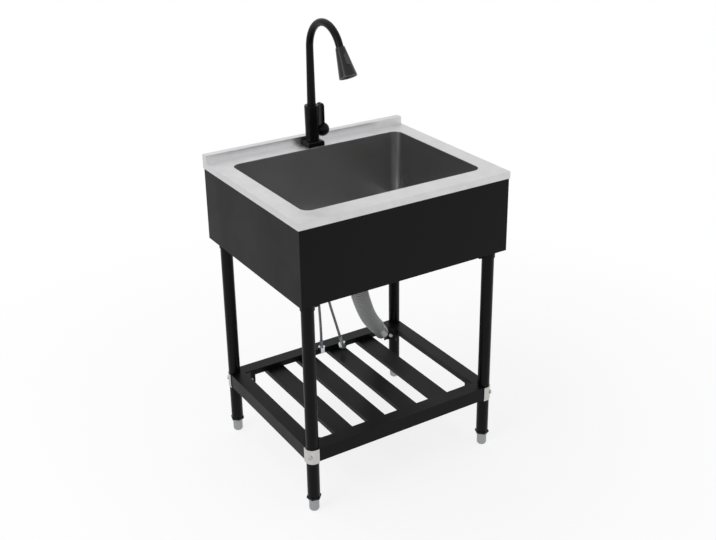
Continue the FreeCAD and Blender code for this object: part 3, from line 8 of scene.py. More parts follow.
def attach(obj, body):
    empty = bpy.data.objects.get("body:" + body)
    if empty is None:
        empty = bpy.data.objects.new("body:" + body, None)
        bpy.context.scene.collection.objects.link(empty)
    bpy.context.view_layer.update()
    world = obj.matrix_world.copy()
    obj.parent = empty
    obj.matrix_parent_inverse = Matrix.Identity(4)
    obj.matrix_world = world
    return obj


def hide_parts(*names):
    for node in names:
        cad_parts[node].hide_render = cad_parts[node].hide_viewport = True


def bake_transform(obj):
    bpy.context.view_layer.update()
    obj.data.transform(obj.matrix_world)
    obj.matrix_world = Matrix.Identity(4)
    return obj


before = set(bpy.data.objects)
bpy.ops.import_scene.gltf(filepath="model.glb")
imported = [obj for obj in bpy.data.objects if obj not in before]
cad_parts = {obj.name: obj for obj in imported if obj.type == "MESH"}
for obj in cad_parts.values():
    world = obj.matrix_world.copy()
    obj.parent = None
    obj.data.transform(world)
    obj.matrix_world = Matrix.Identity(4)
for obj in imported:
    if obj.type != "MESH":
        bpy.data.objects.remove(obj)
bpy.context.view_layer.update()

# ------------------------------------------------------------------ view, floor and studio light
# The sink stands free on a white studio floor, seen from its front left and from above, with a
# large soft light on the left and two weaker ones. The camera and the mirroring steel see a white
# room round it, and the floor keeps the sink's soft shadow.

CAMERA_PLACE = (-1.3405, -2.1807, 1.7169)
CAMERA_TURN = (-31.766, 22.82, -0.876)   # round the sink, down, and roll, in degrees
CAMERA_LENS = 1080.0 / 716.0 * 36.0
CAMERA_SHIFT = -45.0 / 716.0
ROOM_LIGHT = 0.45                        # strength of the world on the object; seen, it is 1
FLOOR_HALF_WIDTH = 9.0
FLOOR_GLOW = 0.80                        # what the floor shows by itself near the sink
FADE_START, FADE_END = 0.6, 1.6          # distance from the sink over which the floor turns white


def linear(colour):
    """A colour written as sRGB hex, as linear red, green, blue and alpha."""
    steps = np.array([int(colour[k:k + 2], 16) for k in (1, 3, 5)]) / 255.0
    low = steps / 12.92
    high = ((steps + 0.055) / 1.055) ** 2.4
    return (*np.where(steps <= 0.04045, low, high).tolist(), 1.0)


def add(tree, kind, links=None, **settings):
    """Adds a shader node: links are {input: (node, output)}, settings are properties or inputs."""
    node = tree.nodes.new("ShaderNode" + kind)
    for name, value in settings.items():
        if hasattr(node, name):
            setattr(node, name, value)
        else:
            node.inputs[name.replace("_", " ")].default_value = value
    for name, (source, output) in (links or {}).items():
        tree.links.new(source.outputs[output], node.inputs[name])
    return node


def place_camera():
    """The camera's three axes from its bearing round the sink, its dip and its roll."""
    bearing, dip, roll = np.radians(CAMERA_TURN)
    ahead = np.array([
        -math.sin(bearing) * math.cos(dip), math.cos(bearing) * math.cos(dip), -math.sin(dip)
    ])
    right = np.array([math.cos(bearing), math.sin(bearing), 0.0])
    up = np.cross(right, ahead)
    across = right * math.cos(roll) + up * math.sin(roll)
    above = up * math.cos(roll) - right * math.sin(roll)
    data = bpy.data.cameras.new("studio_camera")
    data.sensor_width = 36.0
    data.lens = CAMERA_LENS
    data.shift_y = CAMERA_SHIFT
    data.clip_end = 30.0
    camera = bpy.data.objects.new("studio_camera", data)
    turn = Matrix((across, above, -ahead)).transposed().to_4x4()
    camera.matrix_world = Matrix.Translation(Vector(CAMERA_PLACE)) @ turn
    bpy.context.scene.collection.objects.link(camera)
    bpy.context.scene.camera = camera


def soft_light(name, place, aim, width, height, power):
    """A rectangular soft box at place, facing aim."""
    data = bpy.data.lights.new(name, "AREA")
    data.shape = "RECTANGLE"
    data.size, data.size_y = width, height
    data.energy = power
    lamp = bpy.data.objects.new(name, data)
    aiming = (Vector(aim) - Vector(place)).to_track_quat("-Z", "Y")
    lamp.matrix_world = Matrix.Translation(Vector(place)) @ aiming.to_matrix().to_4x4()
    bpy.context.scene.collection.objects.link(lamp)


place_camera()

world = bpy.data.worlds.new("studio_world")
bpy.context.scene.world = world
world.use_nodes = True
sky = world.node_tree
sky.nodes.clear()
sky_rays = add(sky, "LightPath")
sky_direct = add(sky, "Math", operation="MAXIMUM",
                 links={0: (sky_rays, "Is Camera Ray"), 1: (sky_rays, "Is Transmission Ray")})
sky_looked_at = add(sky, "Math", operation="MAXIMUM",
                    links={0: (sky_direct, 0), 1: (sky_rays, "Is Glossy Ray")})
sky_light = add(sky, "Background", Color=linear("#ffffff"), Strength=ROOM_LIGHT)
sky_seen = add(sky, "Background", Color=linear("#ffffff"), Strength=1.0)
sky_mix = add(sky, "MixShader", {0: (sky_looked_at, 0), 1: (sky_light, 0), 2: (sky_seen, 0)})
add(sky, "OutputWorld", {"Surface": (sky_mix, 0)})

floor_mesh = bpy.data.meshes.new("studio_floor")
floor_corners = [(x * FLOOR_HALF_WIDTH, y * FLOOR_HALF_WIDTH, 0.0)
                 for x, y in ((-1, -1), (1, -1), (1, 1), (-1, 1))]
floor_mesh.from_pydata(floor_corners, [], [(0, 1, 2, 3)])
studio_floor = bpy.data.objects.new("studio_floor", floor_mesh)
bpy.context.scene.collection.objects.link(studio_floor)
floor_paint = bpy.data.materials.new("white_studio_floor")
floor_paint.use_nodes = True
tree = floor_paint.node_tree
tree.nodes.clear()
floor_rays = add(tree, "LightPath")
floor_direct = add(tree, "Math", operation="MAXIMUM",
                   links={0: (floor_rays, "Is Camera Ray"), 1: (floor_rays, "Is Transmission Ray")})
floor_looked_at = add(tree, "Math", operation="MAXIMUM",
                      links={0: (floor_direct, 0), 1: (floor_rays, "Is Glossy Ray")})
floor_plain = add(tree, "BsdfDiffuse", Color=linear("#d8d8d8"))
floor_glow = add(tree, "Emission", Color=linear("#ffffff"), Strength=FLOOR_GLOW)
floor_half = add(tree, "BsdfDiffuse", Color=linear("#888888"))
floor_near = add(tree, "AddShader", {0: (floor_glow, 0), 1: (floor_half, 0)})
floor_far = add(tree, "Emission", Color=linear("#ffffff"), Strength=1.0)
floor_place = add(tree, "TexCoord")
floor_radius = add(tree, "VectorMath", {0: (floor_place, "Object")}, operation="LENGTH")
floor_fade = add(tree, "MapRange", {"Value": (floor_radius, "Value")},
                 From_Min=FADE_START, From_Max=FADE_END)
floor_white = add(tree, "MixShader", {0: (floor_fade, 0), 1: (floor_near, 0), 2: (floor_far, 0)})
floor_mix = add(tree, "MixShader",
                {0: (floor_looked_at, 0), 1: (floor_plain, 0), 2: (floor_white, 0)})
add(tree, "OutputMaterial", {"Surface": (floor_mix, 0)})
floor_mesh.materials.append(floor_paint)

soft_light("left_soft_box", (-3.0, -0.6, 1.9), (0.0, 0.0, 0.6), 2.2, 2.2, 38.0)
soft_light("front_soft_box", (1.4, -3.0, 1.9), (0.0, 0.0, 0.6), 1.2, 1.2, 7.0)
soft_light("overhead_soft_box", (-0.5, 1.1, 3.0), (0.0, 0.1, 0.8), 3.0, 2.4, 12.0)

bpy.context.scene.view_settings.view_transform = "Standard"


# ------------------------------------------------------------------ supply hoses
# Two thin water hoses hang from the tap's threaded tail. Each is a rubber tube in a braid of fine
# steel wire, crimped at its end into a sleeve whose head holds a loose union nut.

HOSE_DIAMETER = 0.0075
HOSE_SIDES = 20
HOSE_STEP = 0.003        # spacing of the rings along the hose
BRAID_TURNS = 8
BRAID_PITCH = 0.0036     # drawn twice as coarse as the real wire so that it shows
COLD_ROUTE = [
    (-0.0086, 0.207, 0.826), (-0.0086, 0.207, 0.728), (-0.010, 0.206, 0.624),
    (-0.011, 0.201, 0.522), (-0.009, 0.1945, 0.430), (-0.007, 0.1885, 0.340),
    (-0.0055, 0.1843, 0.262), (-0.0056, 0.1832, 0.220),
]
HOT_ROUTE = [
    (0.0086, 0.207, 0.826), (0.0086, 0.207, 0.728), (0.010, 0.206, 0.624),
    (0.011, 0.202, 0.522), (0.014, 0.196, 0.430), (0.023, 0.188, 0.342),
    (0.038, 0.177, 0.272), (0.0485, 0.1695, 0.222),
]
ACROSS = np.array([1.0, 0.0, 0.0])


def route_points(name, route, spacing):
    """Points at an even spacing along the smooth line that a route's points control."""
    data = bpy.data.curves.new(name, "CURVE")
    data.dimensions = "3D"
    data.resolution_u = 24
    spline = data.splines.new("NURBS")
    spline.points.add(len(route) - 1)
    spline.points.foreach_set("co", np.array([(*point, 1.0) for point in route]).ravel())
    spline.order_u = 3
    spline.use_endpoint_u = True
    holder = bpy.data.objects.new(name, data)
    bpy.context.scene.collection.objects.link(holder)
    bpy.context.view_layer.update()
    line = bpy.data.meshes.new_from_object(holder)
    points = np.empty(len(line.vertices) * 3)
    line.vertices.foreach_get("co", points)
    points = points.reshape(-1, 3)
    bpy.data.objects.remove(holder)
    bpy.data.curves.remove(data)
    bpy.data.meshes.remove(line)
    run = np.concatenate([[0.0], np.cumsum(np.linalg.norm(np.diff(points, axis=0), axis=1))])
    even = np.linspace(0.0, run[-1], int(round(run[-1] / spacing)) + 1)
    return np.stack([np.interp(even, run, points[:, k]) for k in range(3)], axis=1), even


def surface(name, grid, material, close_ends=False):
    """A tube's mesh over a grid of points: rows run along the piece and columns round it.

    Its UV map is (column / columns, row / (rows - 1)). Ends can be closed with a fan.
    """
    rows, columns = grid.shape[:2]
    points = grid.reshape(-1, 3)
    along = np.arange(rows - 1)[:, None] * columns
    across = np.arange(columns)[None, :]
    beside = (across + 1) % columns
    quads = np.stack([along + across, along + beside, along + columns + beside,
                      along + columns + across], axis=-1).reshape(-1, 4)
    u = np.broadcast_to(np.arange(columns)[None, :] / columns, (rows - 1, columns))
    v = np.broadcast_to(np.arange(rows - 1)[:, None] / (rows - 1), (rows - 1, columns))
    du, dv = 1.0 / columns, 1.0 / (rows - 1)
    corners = np.stack([np.stack([u, v], -1), np.stack([u + du, v], -1),
                        np.stack([u + du, v + dv], -1), np.stack([u, v + dv], -1)], axis=-2)
    loops = corners.reshape(-1, 2)
    faces = quads.tolist()
    if close_ends:
        centres = np.stack([grid[0].mean(axis=0), grid[-1].mean(axis=0)])
        points = np.concatenate([points, centres])
        first_centre, last_centre = rows * columns, rows * columns + 1
        ring = np.arange(columns)
        after = (ring + 1) % columns
        low = np.stack([np.full(columns, first_centre), after, ring], axis=1)
        top = (rows - 1) * columns
        high = np.stack([np.full(columns, last_centre), top + ring, top + after], axis=1)
        faces += low.tolist() + high.tolist()
        loops = np.concatenate([loops, np.zeros((columns * 6, 2))])
    mesh = bpy.data.meshes.new(name)
    mesh.from_pydata(points.tolist(), [], faces)
    layer = mesh.uv_layers.new(name="UVMap")
    layer.data.foreach_set("uv", loops.ravel())
    mesh.polygons.foreach_set("use_smooth", np.full(len(faces), True))
    mesh.materials.append(material)
    mesh.update()
    piece = bpy.data.objects.new(name, mesh)
    bpy.context.scene.collection.objects.link(piece)
    return piece


def rings(points, radii, sides, steady):
    """Circles square to a line: centre + radius * (side * cos + up * sin), side near steady."""
    ahead = np.gradient(points, axis=0)
    ahead /= np.linalg.norm(ahead, axis=1)[:, None]
    side = steady - ahead * (ahead @ steady)[:, None]
    side /= np.linalg.norm(side, axis=1)[:, None]
    up = np.cross(ahead, side)
    angle = np.linspace(0.0, 2.0 * np.pi, sides, endpoint=False)
    spokes = side[:, None, :] * np.cos(angle)[None, :, None]
    spokes = spokes + up[:, None, :] * np.sin(angle)[None, :, None]
    return points[:, None, :] + spokes * np.asarray(radii)[:, None, None]


def new_material(name):
    """An empty material and its node tree."""
    material = bpy.data.materials.new(name)
    material.use_nodes = True
    material.node_tree.nodes.clear()
    return material, material.node_tree


def times(tree, source, factor):
    """A number from (node, output) times a constant."""
    product = add(tree, "Math", {0: source}, operation="MULTIPLY")
    product.inputs[1].default_value = factor
    return product


def two_tones(tree, source, low, high):
    """The colour low where the number from (node, output) is 0, and high where it is 1."""
    tone = add(tree, "Mix", {0: source}, data_type="RGBA")
    tone.inputs[6].default_value = linear(low)
    tone.inputs[7].default_value = linear(high)
    return tone


def braided_wire(name, colour, dark, length):
    """Stainless wire braid over rubber: two sets of strands wound opposite ways.

    The height is the larger of two sines, of 2 pi (turns * u + along / pitch) and of
    2 pi (turns * u - along / pitch), which makes the fine crossing strands of a water hose glitter.
    """
    material, tree = new_material(name)
    uv = add(tree, "UVMap")
    parts = add(tree, "SeparateXYZ", {0: (uv, 0)})
    round_ = times(tree, (parts, 0), BRAID_TURNS * 2.0 * math.pi)
    along = times(tree, (parts, 1), length / BRAID_PITCH * 2.0 * math.pi)
    plus = add(tree, "Math", {0: (round_, 0), 1: (along, 0)}, operation="ADD")
    minus = add(tree, "Math", {0: (round_, 0), 1: (along, 0)}, operation="SUBTRACT")
    first = add(tree, "Math", {0: (plus, 0)}, operation="SINE")
    second = add(tree, "Math", {0: (minus, 0)}, operation="SINE")
    weave = add(tree, "Math", {0: (first, 0), 1: (second, 0)}, operation="MAXIMUM")
    shade = add(tree, "MapRange", {"Value": (weave, 0)}, From_Min=-0.4)
    tone = two_tones(tree, (shade, 0), dark, colour)
    bump = add(tree, "Bump", {"Height": (weave, 0)}, Strength=0.6, Distance=0.0003)
    shader = add(tree, "BsdfPrincipled", {"Base Color": (tone, 2), "Normal": (bump, 0)},
                 Metallic=0.85, Roughness=0.38)
    add(tree, "OutputMaterial", {"Surface": (shader, 0)})
    return material


def hang_supply_hose(side, route):
    """A tube of steady width along the smooth line of the route's points."""
    points, run = route_points(f"supply_route_{side}", route, HOSE_STEP)
    wire = braided_wire(f"steel_wire_braid_{side}", "#8d8f92", "#26272a", float(run[-1]))
    tube = rings(points, np.full(len(points), HOSE_DIAMETER / 2), HOSE_SIDES, ACROSS)
    hose = surface(f"braided_supply_{side}", tube, wire, close_ends=True)
    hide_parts(f"supply_hose_{side}")
    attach(hose, "stand")


hang_supply_hose("cold", COLD_ROUTE)
hang_supply_hose("hot", HOT_ROUTE)


def dress(material, *names):
    """Gives CAD nodes a material in place of their plain one."""
    for name in names:
        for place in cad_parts[name].material_slots:
            place.material = material


# ------------------------------------------------------------------ drain hose
# The waste runs through a ribbed hose of grey polypropylene, blown in a mould: even round ribs that
# get smaller downwards, a plain neck that the coupling nut draws on to the strainer, and a cuff.

DRAIN_ROUTE = [
    (0.0, -0.007, 0.538), (0.0, -0.007, 0.492), (0.012, 0.003, 0.442), (0.034, 0.021, 0.396),
    (0.062, 0.044, 0.345), (0.096, 0.072, 0.300), (0.131, 0.101, 0.262), (0.163, 0.127, 0.222),
]
RIB_PITCH = 0.006
RIB_DEPTH = 0.0024
TOP_CREST, END_CREST = 0.0247, 0.0212    # the ribs get smaller towards the lower end
NECK_RADIUS, NECK_LENGTH = 0.0174, 0.053
CUFF_RADIUS, CUFF_LENGTH = 0.0198, 0.055
HOSE_BORE = 0.0182
DRAIN_SIDES = 56
RINGS_PER_RIB = 8
MOUTH_RINGS = 80                         # the bore is drawn this far up inside the cuff
DRAIN_SIDE = np.array([0.4, -0.9, 0.0])


def ribbed_radius(run, total):
    """Radius crest - depth * groove, with groove = 1 - (half a cosine of run over pitch) ** 0.8.

    The crest falls evenly from the upper to the lower radius along the ribbed part, and the neck
    and the cuff are plain. Returns the radii and the groove, which is 0 on a rib and 1 between two.
    """
    share = np.clip((run - NECK_LENGTH) / (total - CUFF_LENGTH - NECK_LENGTH), 0.0, 1.0)
    crest = TOP_CREST + (END_CREST - TOP_CREST) * share
    wave = 0.5 - 0.5 * np.cos(2.0 * np.pi * (run - NECK_LENGTH) / RIB_PITCH)
    plain = (run < NECK_LENGTH) | (run > total - CUFF_LENGTH)
    groove = np.where(plain, 0.0, 1.0 - wave ** 0.8)
    radius = np.where(run < NECK_LENGTH, NECK_RADIUS, crest - RIB_DEPTH * groove)
    return np.where(run > total - CUFF_LENGTH, CUFF_RADIUS, radius), groove


def ribbed_plastic(name, colour, groove_shade_colour, roughness, cloud_mm=20.0):
    """Blow moulded plastic with painted shade in its grooves, mixed with a little dirt, which picks
    the ribs out.

    The mesh's "groove" attribute is 0 on the ribs and 1 between them.
    """
    material, tree = new_material(name)
    place = add(tree, "TexCoord")
    groove = add(tree, "Attribute", attribute_name="groove")
    clouds = add(tree, "TexNoise", {"Vector": (place, "Object")},
                 Scale=1000.0 / cloud_mm, Detail=3.0)
    # Painted shade: the grooves turn a near black colour that stands in for the shade between the
    # ribs, and the noise adds some dirt.
    shade_and_dust = add(tree, "Math", {0: (groove, "Fac"), 1: (clouds, 0)}, operation="MULTIPLY_ADD")
    shade_and_dust.inputs[2].default_value = -0.1
    depth = add(tree, "Math", {0: (groove, "Fac"), 1: (shade_and_dust, 0)}, operation="MAXIMUM")
    tone = two_tones(tree, (depth, 0), colour, groove_shade_colour)
    gloss = add(tree, "MapRange", {"Value": (groove, "Fac")},
                To_Min=roughness, To_Max=roughness + 0.3)
    shader = add(tree, "BsdfPrincipled", {"Base Color": (tone, 2), "Roughness": (gloss, 0)},
                 IOR=1.5)
    add(tree, "OutputMaterial", {"Surface": (shader, 0)})
    return material


def moulded_plastic(name, colour, roughness, grain_mm=0.5, bump=0.05, shine=0.5, cloud_mm=30.0):
    """Injection moulded plastic or rubber: a faint satin grain and slightly uneven gloss."""
    material, tree = new_material(name)
    place = add(tree, "TexCoord")
    grain = add(tree, "TexNoise", {"Vector": (place, "Object")},
                Scale=1000.0 / grain_mm, Detail=2.0)
    clouds = add(tree, "TexNoise", {"Vector": (place, "Object")},
                 Scale=1000.0 / cloud_mm, Detail=3.0)
    wear = add(tree, "MapRange", {"Value": (clouds, 0)}, To_Min=0.88, To_Max=1.12)
    tone = add(tree, "HueSaturation", {"Value": (wear, 0)}, Color=linear(colour))
    gloss = add(tree, "MapRange", {"Value": (clouds, 0)},
                To_Min=roughness - 0.05, To_Max=roughness + 0.07)
    dent = add(tree, "Bump", {"Height": (grain, 0)}, Strength=bump, Distance=0.0002)
    shader = add(tree, "BsdfPrincipled",
                 {"Base Color": (tone, 0), "Roughness": (gloss, 0), "Normal": (dent, 0)},
                 IOR=1.5, Specular_IOR_Level=shine)
    add(tree, "OutputMaterial", {"Surface": (shader, 0)})
    return material


drain_points, drain_run = route_points("drain_route", DRAIN_ROUTE, RIB_PITCH / RINGS_PER_RIB)
drain_total = float(drain_run[-1])
drain_radii, drain_groove = ribbed_radius(drain_run, drain_total)
drain_outside = rings(drain_points, drain_radii, DRAIN_SIDES, DRAIN_SIDE)
bore_points = drain_points[:-MOUTH_RINGS:-RINGS_PER_RIB]
drain_bore = rings(bore_points, np.full(len(bore_points), HOSE_BORE), DRAIN_SIDES, DRAIN_SIDE)
drain_shell = np.concatenate([drain_outside, drain_bore])
# 111112 is the painted shade in the grooves between the ribs.
grey_polypropylene = ribbed_plastic("blown_grey_polypropylene", "#b2b3b3", "#111112", 0.26)
ribbed_hose = surface("ribbed_drain_hose", drain_shell, grey_polypropylene)
groove_depth = np.concatenate([drain_groove, np.zeros(len(bore_points))])
groove_layer = ribbed_hose.data.attributes.new("groove", "FLOAT", "POINT")
groove_layer.data.foreach_set("value", np.repeat(groove_depth, DRAIN_SIDES).astype(np.float32))
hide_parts("drain_hose")
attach(ribbed_hose, "stand")


# ------------------------------------------------------------------ worktop
# A folded sheet of 304 stainless steel with a number 4 finish: hairlines brushed along the length,
# turned-down edges, and a hollow upstand along the wall. Its corners are welded and ground.


def brushed_steel(name, colour, roughness, along="X", hairline_mm=0.35, stroke_mm=60.0,
                  strength=0.12, cloud_mm=90.0, uneven=0.06, gloss_range=0.09):
    """Brushed steel: noise stretched along the strokes gives fine hairlines that blur reflections.

    Larger clouds of noise vary the gloss and the tone, as on sheet that has been handled.
    """
    material, tree = new_material(name)
    place = add(tree, "TexCoord")
    fine, stroke = 1000.0 / hairline_mm, 1000.0 / stroke_mm
    spread = {"X": (stroke, fine, fine), "Z": (fine, fine, stroke)}[along]
    stretch = add(tree, "Mapping", {"Vector": (place, "Object")}, Scale=spread)
    lines = add(tree, "TexNoise", {"Vector": (stretch, 0)}, Scale=1.0, Detail=3.0, Roughness=0.6)
    clouds = add(tree, "TexNoise", {"Vector": (place, "Object")},
                 Scale=1000.0 / cloud_mm, Detail=3.0)
    both = add(tree, "Math", {0: (lines, 0), 1: (clouds, 0)}, operation="ADD")
    gloss = add(tree, "MapRange", {"Value": (both, 0)}, From_Min=0.6, From_Max=1.4,
                To_Min=roughness - gloss_range, To_Max=roughness + gloss_range)
    shade = add(tree, "MapRange", {"Value": (lines, 0)},
                To_Min=1.0 - uneven, To_Max=1.0 + uneven)
    patch = add(tree, "MapRange", {"Value": (clouds, 0)}, From_Min=0.3, From_Max=0.7,
                To_Min=1.0 - uneven, To_Max=1.0 + uneven)
    level = add(tree, "Math", {0: (shade, 0), 1: (patch, 0)}, operation="MULTIPLY")
    tone = add(tree, "HueSaturation", {"Value": (level, 0)}, Color=linear(colour))
    scratch = add(tree, "Bump", {"Height": (lines, 0)}, Strength=strength, Distance=0.0002)
    shader = add(tree, "BsdfPrincipled",
                 {"Base Color": (tone, 0), "Roughness": (gloss, 0), "Normal": (scratch, 0)},
                 Metallic=1.0)
    add(tree, "OutputMaterial", {"Surface": (shader, 0)})
    return material


brushed_rim = brushed_steel("brushed_304_steel_rim", "#cdcdce", 0.36, hairline_mm=1.0,
                            cloud_mm=30.0, uneven=0.045)
dress(brushed_rim, "worktop")

# ------------------------------------------------------------------ bowl
# The bowl is drawn from the same steel, with soft corners, and brushed upright. It is deep and
# narrow, so its walls mirror each other and look much darker than the rim. Its colour is also set
# darker than the rim's, which paints in part of that shade.

brushed_bowl = brushed_steel("brushed_304_steel_bowl", "#a9a9a9", 0.29, along="Z",
                             strength=0.04, cloud_mm=150.0, uneven=0.01, gloss_range=0.025)
dress(brushed_bowl, "bowl")

# ------------------------------------------------------------------ skirt
# Four folded panels of mild steel sheet hide the bowl and carry the worktop. They are powder
# coated in a satin black, with the faint orange peel of a baked coat.


def powder_coat(name, colour, roughness, peel_mm=1.6, bump=0.10, cloud_mm=120.0):
    """Baked powder paint: a fine orange peel in the surface and slow changes of gloss.

    The specular level is low, because the fine pits of a satin coat swallow part of its shine.
    """
    material, tree = new_material(name)
    place = add(tree, "TexCoord")
    peel = add(tree, "TexNoise", {"Vector": (place, "Object")},
               Scale=1000.0 / peel_mm, Detail=2.0)
    clouds = add(tree, "TexNoise", {"Vector": (place, "Object")},
                 Scale=1000.0 / cloud_mm, Detail=4.0)
    gloss = add(tree, "MapRange", {"Value": (clouds, 0)}, From_Min=0.3, From_Max=0.7,
                To_Min=roughness - 0.04, To_Max=roughness + 0.06)
    shade = add(tree, "MapRange", {"Value": (clouds, 0)}, To_Min=0.85, To_Max=1.15)
    tone = add(tree, "HueSaturation", {"Value": (shade, 0)}, Color=linear(colour))
    skin = add(tree, "Bump", {"Height": (peel, 0)}, Strength=bump, Distance=0.0003)
    shader = add(tree, "BsdfPrincipled",
                 {"Base Color": (tone, 0), "Roughness": (gloss, 0), "Normal": (skin, 0)},
                 IOR=1.5, Specular_IOR_Level=0.11)
    add(tree, "OutputMaterial", {"Surface": (shader, 0)})
    return material


skirt_coat = powder_coat("satin_black_powder_coat_skirt", "#0e0e0f", 0.46)
dress(skirt_coat, "skirt_front", "skirt_rear", "skirt_left", "skirt_right")

# ------------------------------------------------------------------ legs, sockets and inserts
# Round steel tubes in a glossier black paint stand in welded sockets under the skirt's corners.
# A black nylon insert with a hexagon collar closes each tube's lower end.

CORNERS = ("front_left", "front_right", "rear_right", "rear_left")
leg_coat = powder_coat("black_powder_coat_legs", "#0b0b0c", 0.30, peel_mm=1.2)
dress(leg_coat, *[f"leg_{corner}" for corner in CORNERS])
dress(leg_coat, *[f"leg_socket_{corner}" for corner in CORNERS])
black_nylon = moulded_plastic("moulded_black_nylon", "#0c0c0d", 0.45, shine=0.2)
dress(black_nylon, "leg_inserts")

# ------------------------------------------------------------------ feet
# Bullet feet turned from aluminium, satin with faint rings from the lathe, on a zinc plated stud.


def turned_metal(name, colour, roughness, ring_mm=0.8, strength=0.15):
    """Metal turned on a lathe: fine level rings, one every ring_mm up, break up its highlights."""
    material, tree = new_material(name)
    place = add(tree, "TexCoord")
    flat = add(tree, "Mapping", {"Vector": (place, "Object")},
               Scale=(30.0, 30.0, 1000.0 / ring_mm))
    cuts = add(tree, "TexNoise", {"Vector": (flat, 0)}, Scale=1.0, Detail=2.0)
    clouds = add(tree, "TexNoise", {"Vector": (place, "Object")}, Scale=60.0, Detail=3.0)
    gloss = add(tree, "MapRange", {"Value": (clouds, 0)},
                To_Min=roughness - 0.08, To_Max=roughness + 0.12)
    bump = add(tree, "Bump", {"Height": (cuts, 0)}, Strength=strength, Distance=0.0003)
    shader = add(tree, "BsdfPrincipled", {"Roughness": (gloss, 0), "Normal": (bump, 0)},
                 Base_Color=linear(colour), Metallic=1.0)
    add(tree, "OutputMaterial", {"Surface": (shader, 0)})
    return material


turned_aluminium = turned_metal("satin_turned_aluminium", "#9a9b9d", 0.34)
dress(turned_aluminium, *[f"foot_{corner}" for corner in CORNERS])

# ------------------------------------------------------------------ shelf
# Folded rails, mitred at the corners, carry four loose slats. All are mild steel in the same satin
# black as the skirt, a little glossier all over.

shelf_coat = powder_coat("satin_black_powder_coat_shelf", "#0e0e0f", 0.40)
dress(shelf_coat, "shelf_rail_front", "shelf_rail_rear", "shelf_rail_left", "shelf_rail_right")
dress(shelf_coat, "shelf_slat_1", "shelf_slat_2", "shelf_slat_3", "shelf_slat_4")

# ------------------------------------------------------------------ clamps, brackets and screws
# Pressed straps of bright nickel plated steel hold the shelf to the legs. The screws and nuts are
# zinc plated, with the slight blue of a clear passivated coat, and the brackets have the shelf's.

nickel_plate = brushed_steel("satin_nickel_plated_steel", "#c2c1bd", 0.30, hairline_mm=0.5,
                             stroke_mm=12.0, strength=0.08, cloud_mm=12.0)
dress(nickel_plate, *[f"clamp_plate_{corner}" for corner in CORNERS])
zinc_plate = turned_metal("clear_passivated_zinc", "#a9adb3", 0.36, ring_mm=1.0, strength=0.05)
dress(zinc_plate, "clamp_screws", "clamp_nuts", "socket_screws", "tap_washer")
dress(shelf_coat, "shelf_brackets")

# ------------------------------------------------------------------ tap
# A cast brass tap with a baked black coat: square foot, tapered body, ball hub with a flat lever
# and a tall swan-neck spout. Its tail and nut are bare brass; a rubber gasket seals the foot.

tap_coat = powder_coat("baked_black_tap_coat", "#0a0a0b", 0.28, peel_mm=0.9, bump=0.05,
                       cloud_mm=40.0)
dress(tap_coat, "tap_base_plate", "tap_body", "lever", "spout")
core_plastic = moulded_plastic("moulded_white_acetal", "#d8d5cb", 0.4)
dress(core_plastic, "cartridge")
bare_brass = turned_metal("bare_turned_brass", "#b08d4a", 0.32, ring_mm=1.0, strength=0.5)
dress(bare_brass, "tap_shank", "tap_lock_nut")
black_rubber = moulded_plastic("black_epdm_rubber", "#141414", 0.7)
dress(black_rubber, "tap_gasket", "drain_gasket")

# ------------------------------------------------------------------ spray head
# Moulded ABS with a satin black coat, a glossy button set in its front, coloured a lighter grey as
# a painted highlight, and a dark nozzle plate with soft silicone tips.

satin_abs = moulded_plastic("satin_black_abs", "#0b0b0c", 0.22, bump=0.02, shine=0.35)
dress(satin_abs, "spray_head")
# 343436 is lighter than the black button's own colour: a painted highlight.
button_abs_painted_highlight = moulded_plastic("gloss_abs_grey_painted_highlight", "#343436", 0.12, bump=0.0)
dress(button_abs_painted_highlight, "spray_button")
silicone = moulded_plastic("dark_grey_silicone", "#2c2d2f", 0.5)
dress(silicone, "spray_face")

# ------------------------------------------------------------------ spray hose
# A nylon braided hose runs from the tap's foot up through the spout into the spray head. The part
# inside turns with the spout; its straight end, where it leaves the spout for the head, is left
# fixed in place and attached to no body.

SPRAY_HOSE_RADIUS = 0.0046
TAP_Y = 0.207
HOSE_FOOT, BEND_START = 0.763, 1.063     # heights of the hose's foot and of the first bend
FIRST_BEND, SECOND_BEND = 0.078, 0.079
SPOUT_TURN = math.radians(151.0)
SPOUT_END = np.array([0.0, 0.0553, 1.0920])
SPRAY_AXIS = np.array([0.0, -0.484810, -0.874620])
END_BACK, END_ON = 0.0092, 0.0098        # the straight end's reach into the spout and the head
COLUMN_RINGS, FIRST_RINGS, SECOND_RINGS, END_RINGS = 12, 24, 20, 80


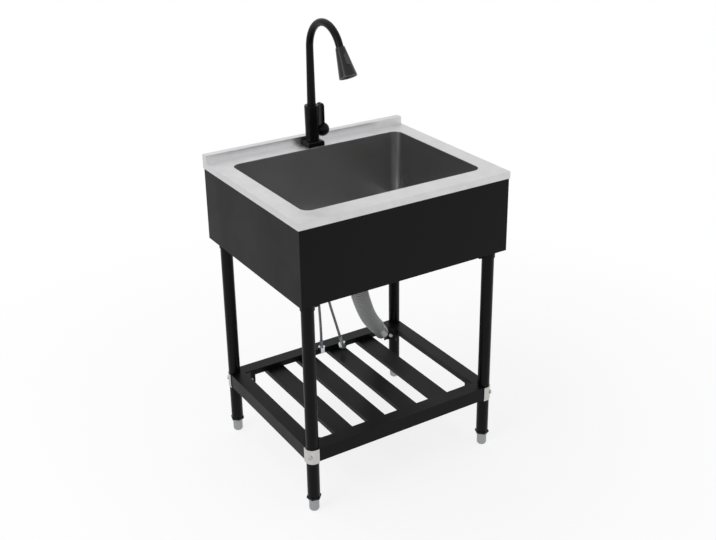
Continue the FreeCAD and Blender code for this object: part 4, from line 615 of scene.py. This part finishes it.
def hose_in_spout():
    """Up the column, then a quarter turn of the first bend and the rest of the turn on the second.

    On a bend of radius r a point is centre + r * (cos angle, sin angle) in the YZ plane.
    """
    column = np.linspace(HOSE_FOOT, BEND_START, COLUMN_RINGS, endpoint=False)
    rise = np.stack([0.0 * column, np.full(len(column), TAP_Y), column], axis=1)
    first = np.linspace(0.0, math.pi / 2, FIRST_RINGS, endpoint=False)
    second = np.linspace(math.pi / 2, SPOUT_TURN, SECOND_RINGS)
    crown_y = TAP_Y - FIRST_BEND
    crown_z = BEND_START + FIRST_BEND
    over = np.stack([0.0 * first, crown_y + FIRST_BEND * np.cos(first),
                     BEND_START + FIRST_BEND * np.sin(first)], axis=1)
    down = np.stack([0.0 * second, crown_y + SECOND_BEND * np.cos(second),
                     crown_z - SECOND_BEND + SECOND_BEND * np.sin(second)], axis=1)
    return np.concatenate([rise, over, down])


nylon_braid = moulded_plastic("woven_grey_nylon", "#3a3b3d", 0.55, grain_mm=1.2, bump=0.5)
held_line = hose_in_spout()
held_rings = rings(held_line, np.full(len(held_line), SPRAY_HOSE_RADIUS), HOSE_SIDES, ACROSS)
held_hose = surface("spray_hose_in_spout", held_rings, nylon_braid, close_ends=True)
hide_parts("spray_hose")
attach(held_hose, "spout")
pay_out = SPOUT_END + SPRAY_AXIS * np.linspace(-END_BACK, END_ON, END_RINGS)[:, None]
pay_out_rings = rings(pay_out, np.full(len(pay_out), SPRAY_HOSE_RADIUS), HOSE_SIDES, ACROSS)
hose_end = surface("spray_hose_end", pay_out_rings, nylon_braid, close_ends=True)
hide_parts("spray_hose")
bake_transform(hose_end)

# ------------------------------------------------------------------ hose ends
# Crimped steel sleeves end the supply hoses, and chromed brass union nuts hang on their heads.

crimped_steel = turned_metal("crimped_stainless_sleeve", "#9b9da0", 0.34)
dress(crimped_steel, "supply_ferrule_cold", "supply_ferrule_hot")
chromed_brass = turned_metal("chromed_brass_nut", "#c4c6c9", 0.16, strength=0.03)
dress(chromed_brass, "supply_nut_cold", "supply_nut_hot")

# ------------------------------------------------------------------ drain
# A pressed and polished strainer sits in the bowl's floor. The ring nut and the coupling nut
# under it are moulded polypropylene.

polished_steel = turned_metal("polished_stainless_strainer", "#b4b6b8", 0.2, strength=0.04)
dress(polished_steel, "strainer_body", "strainer_basket")
black_polypropylene = moulded_plastic("moulded_black_polypropylene", "#171718", 0.5)
dress(black_polypropylene, "drain_lock_nut", "drain_coupling_nut")
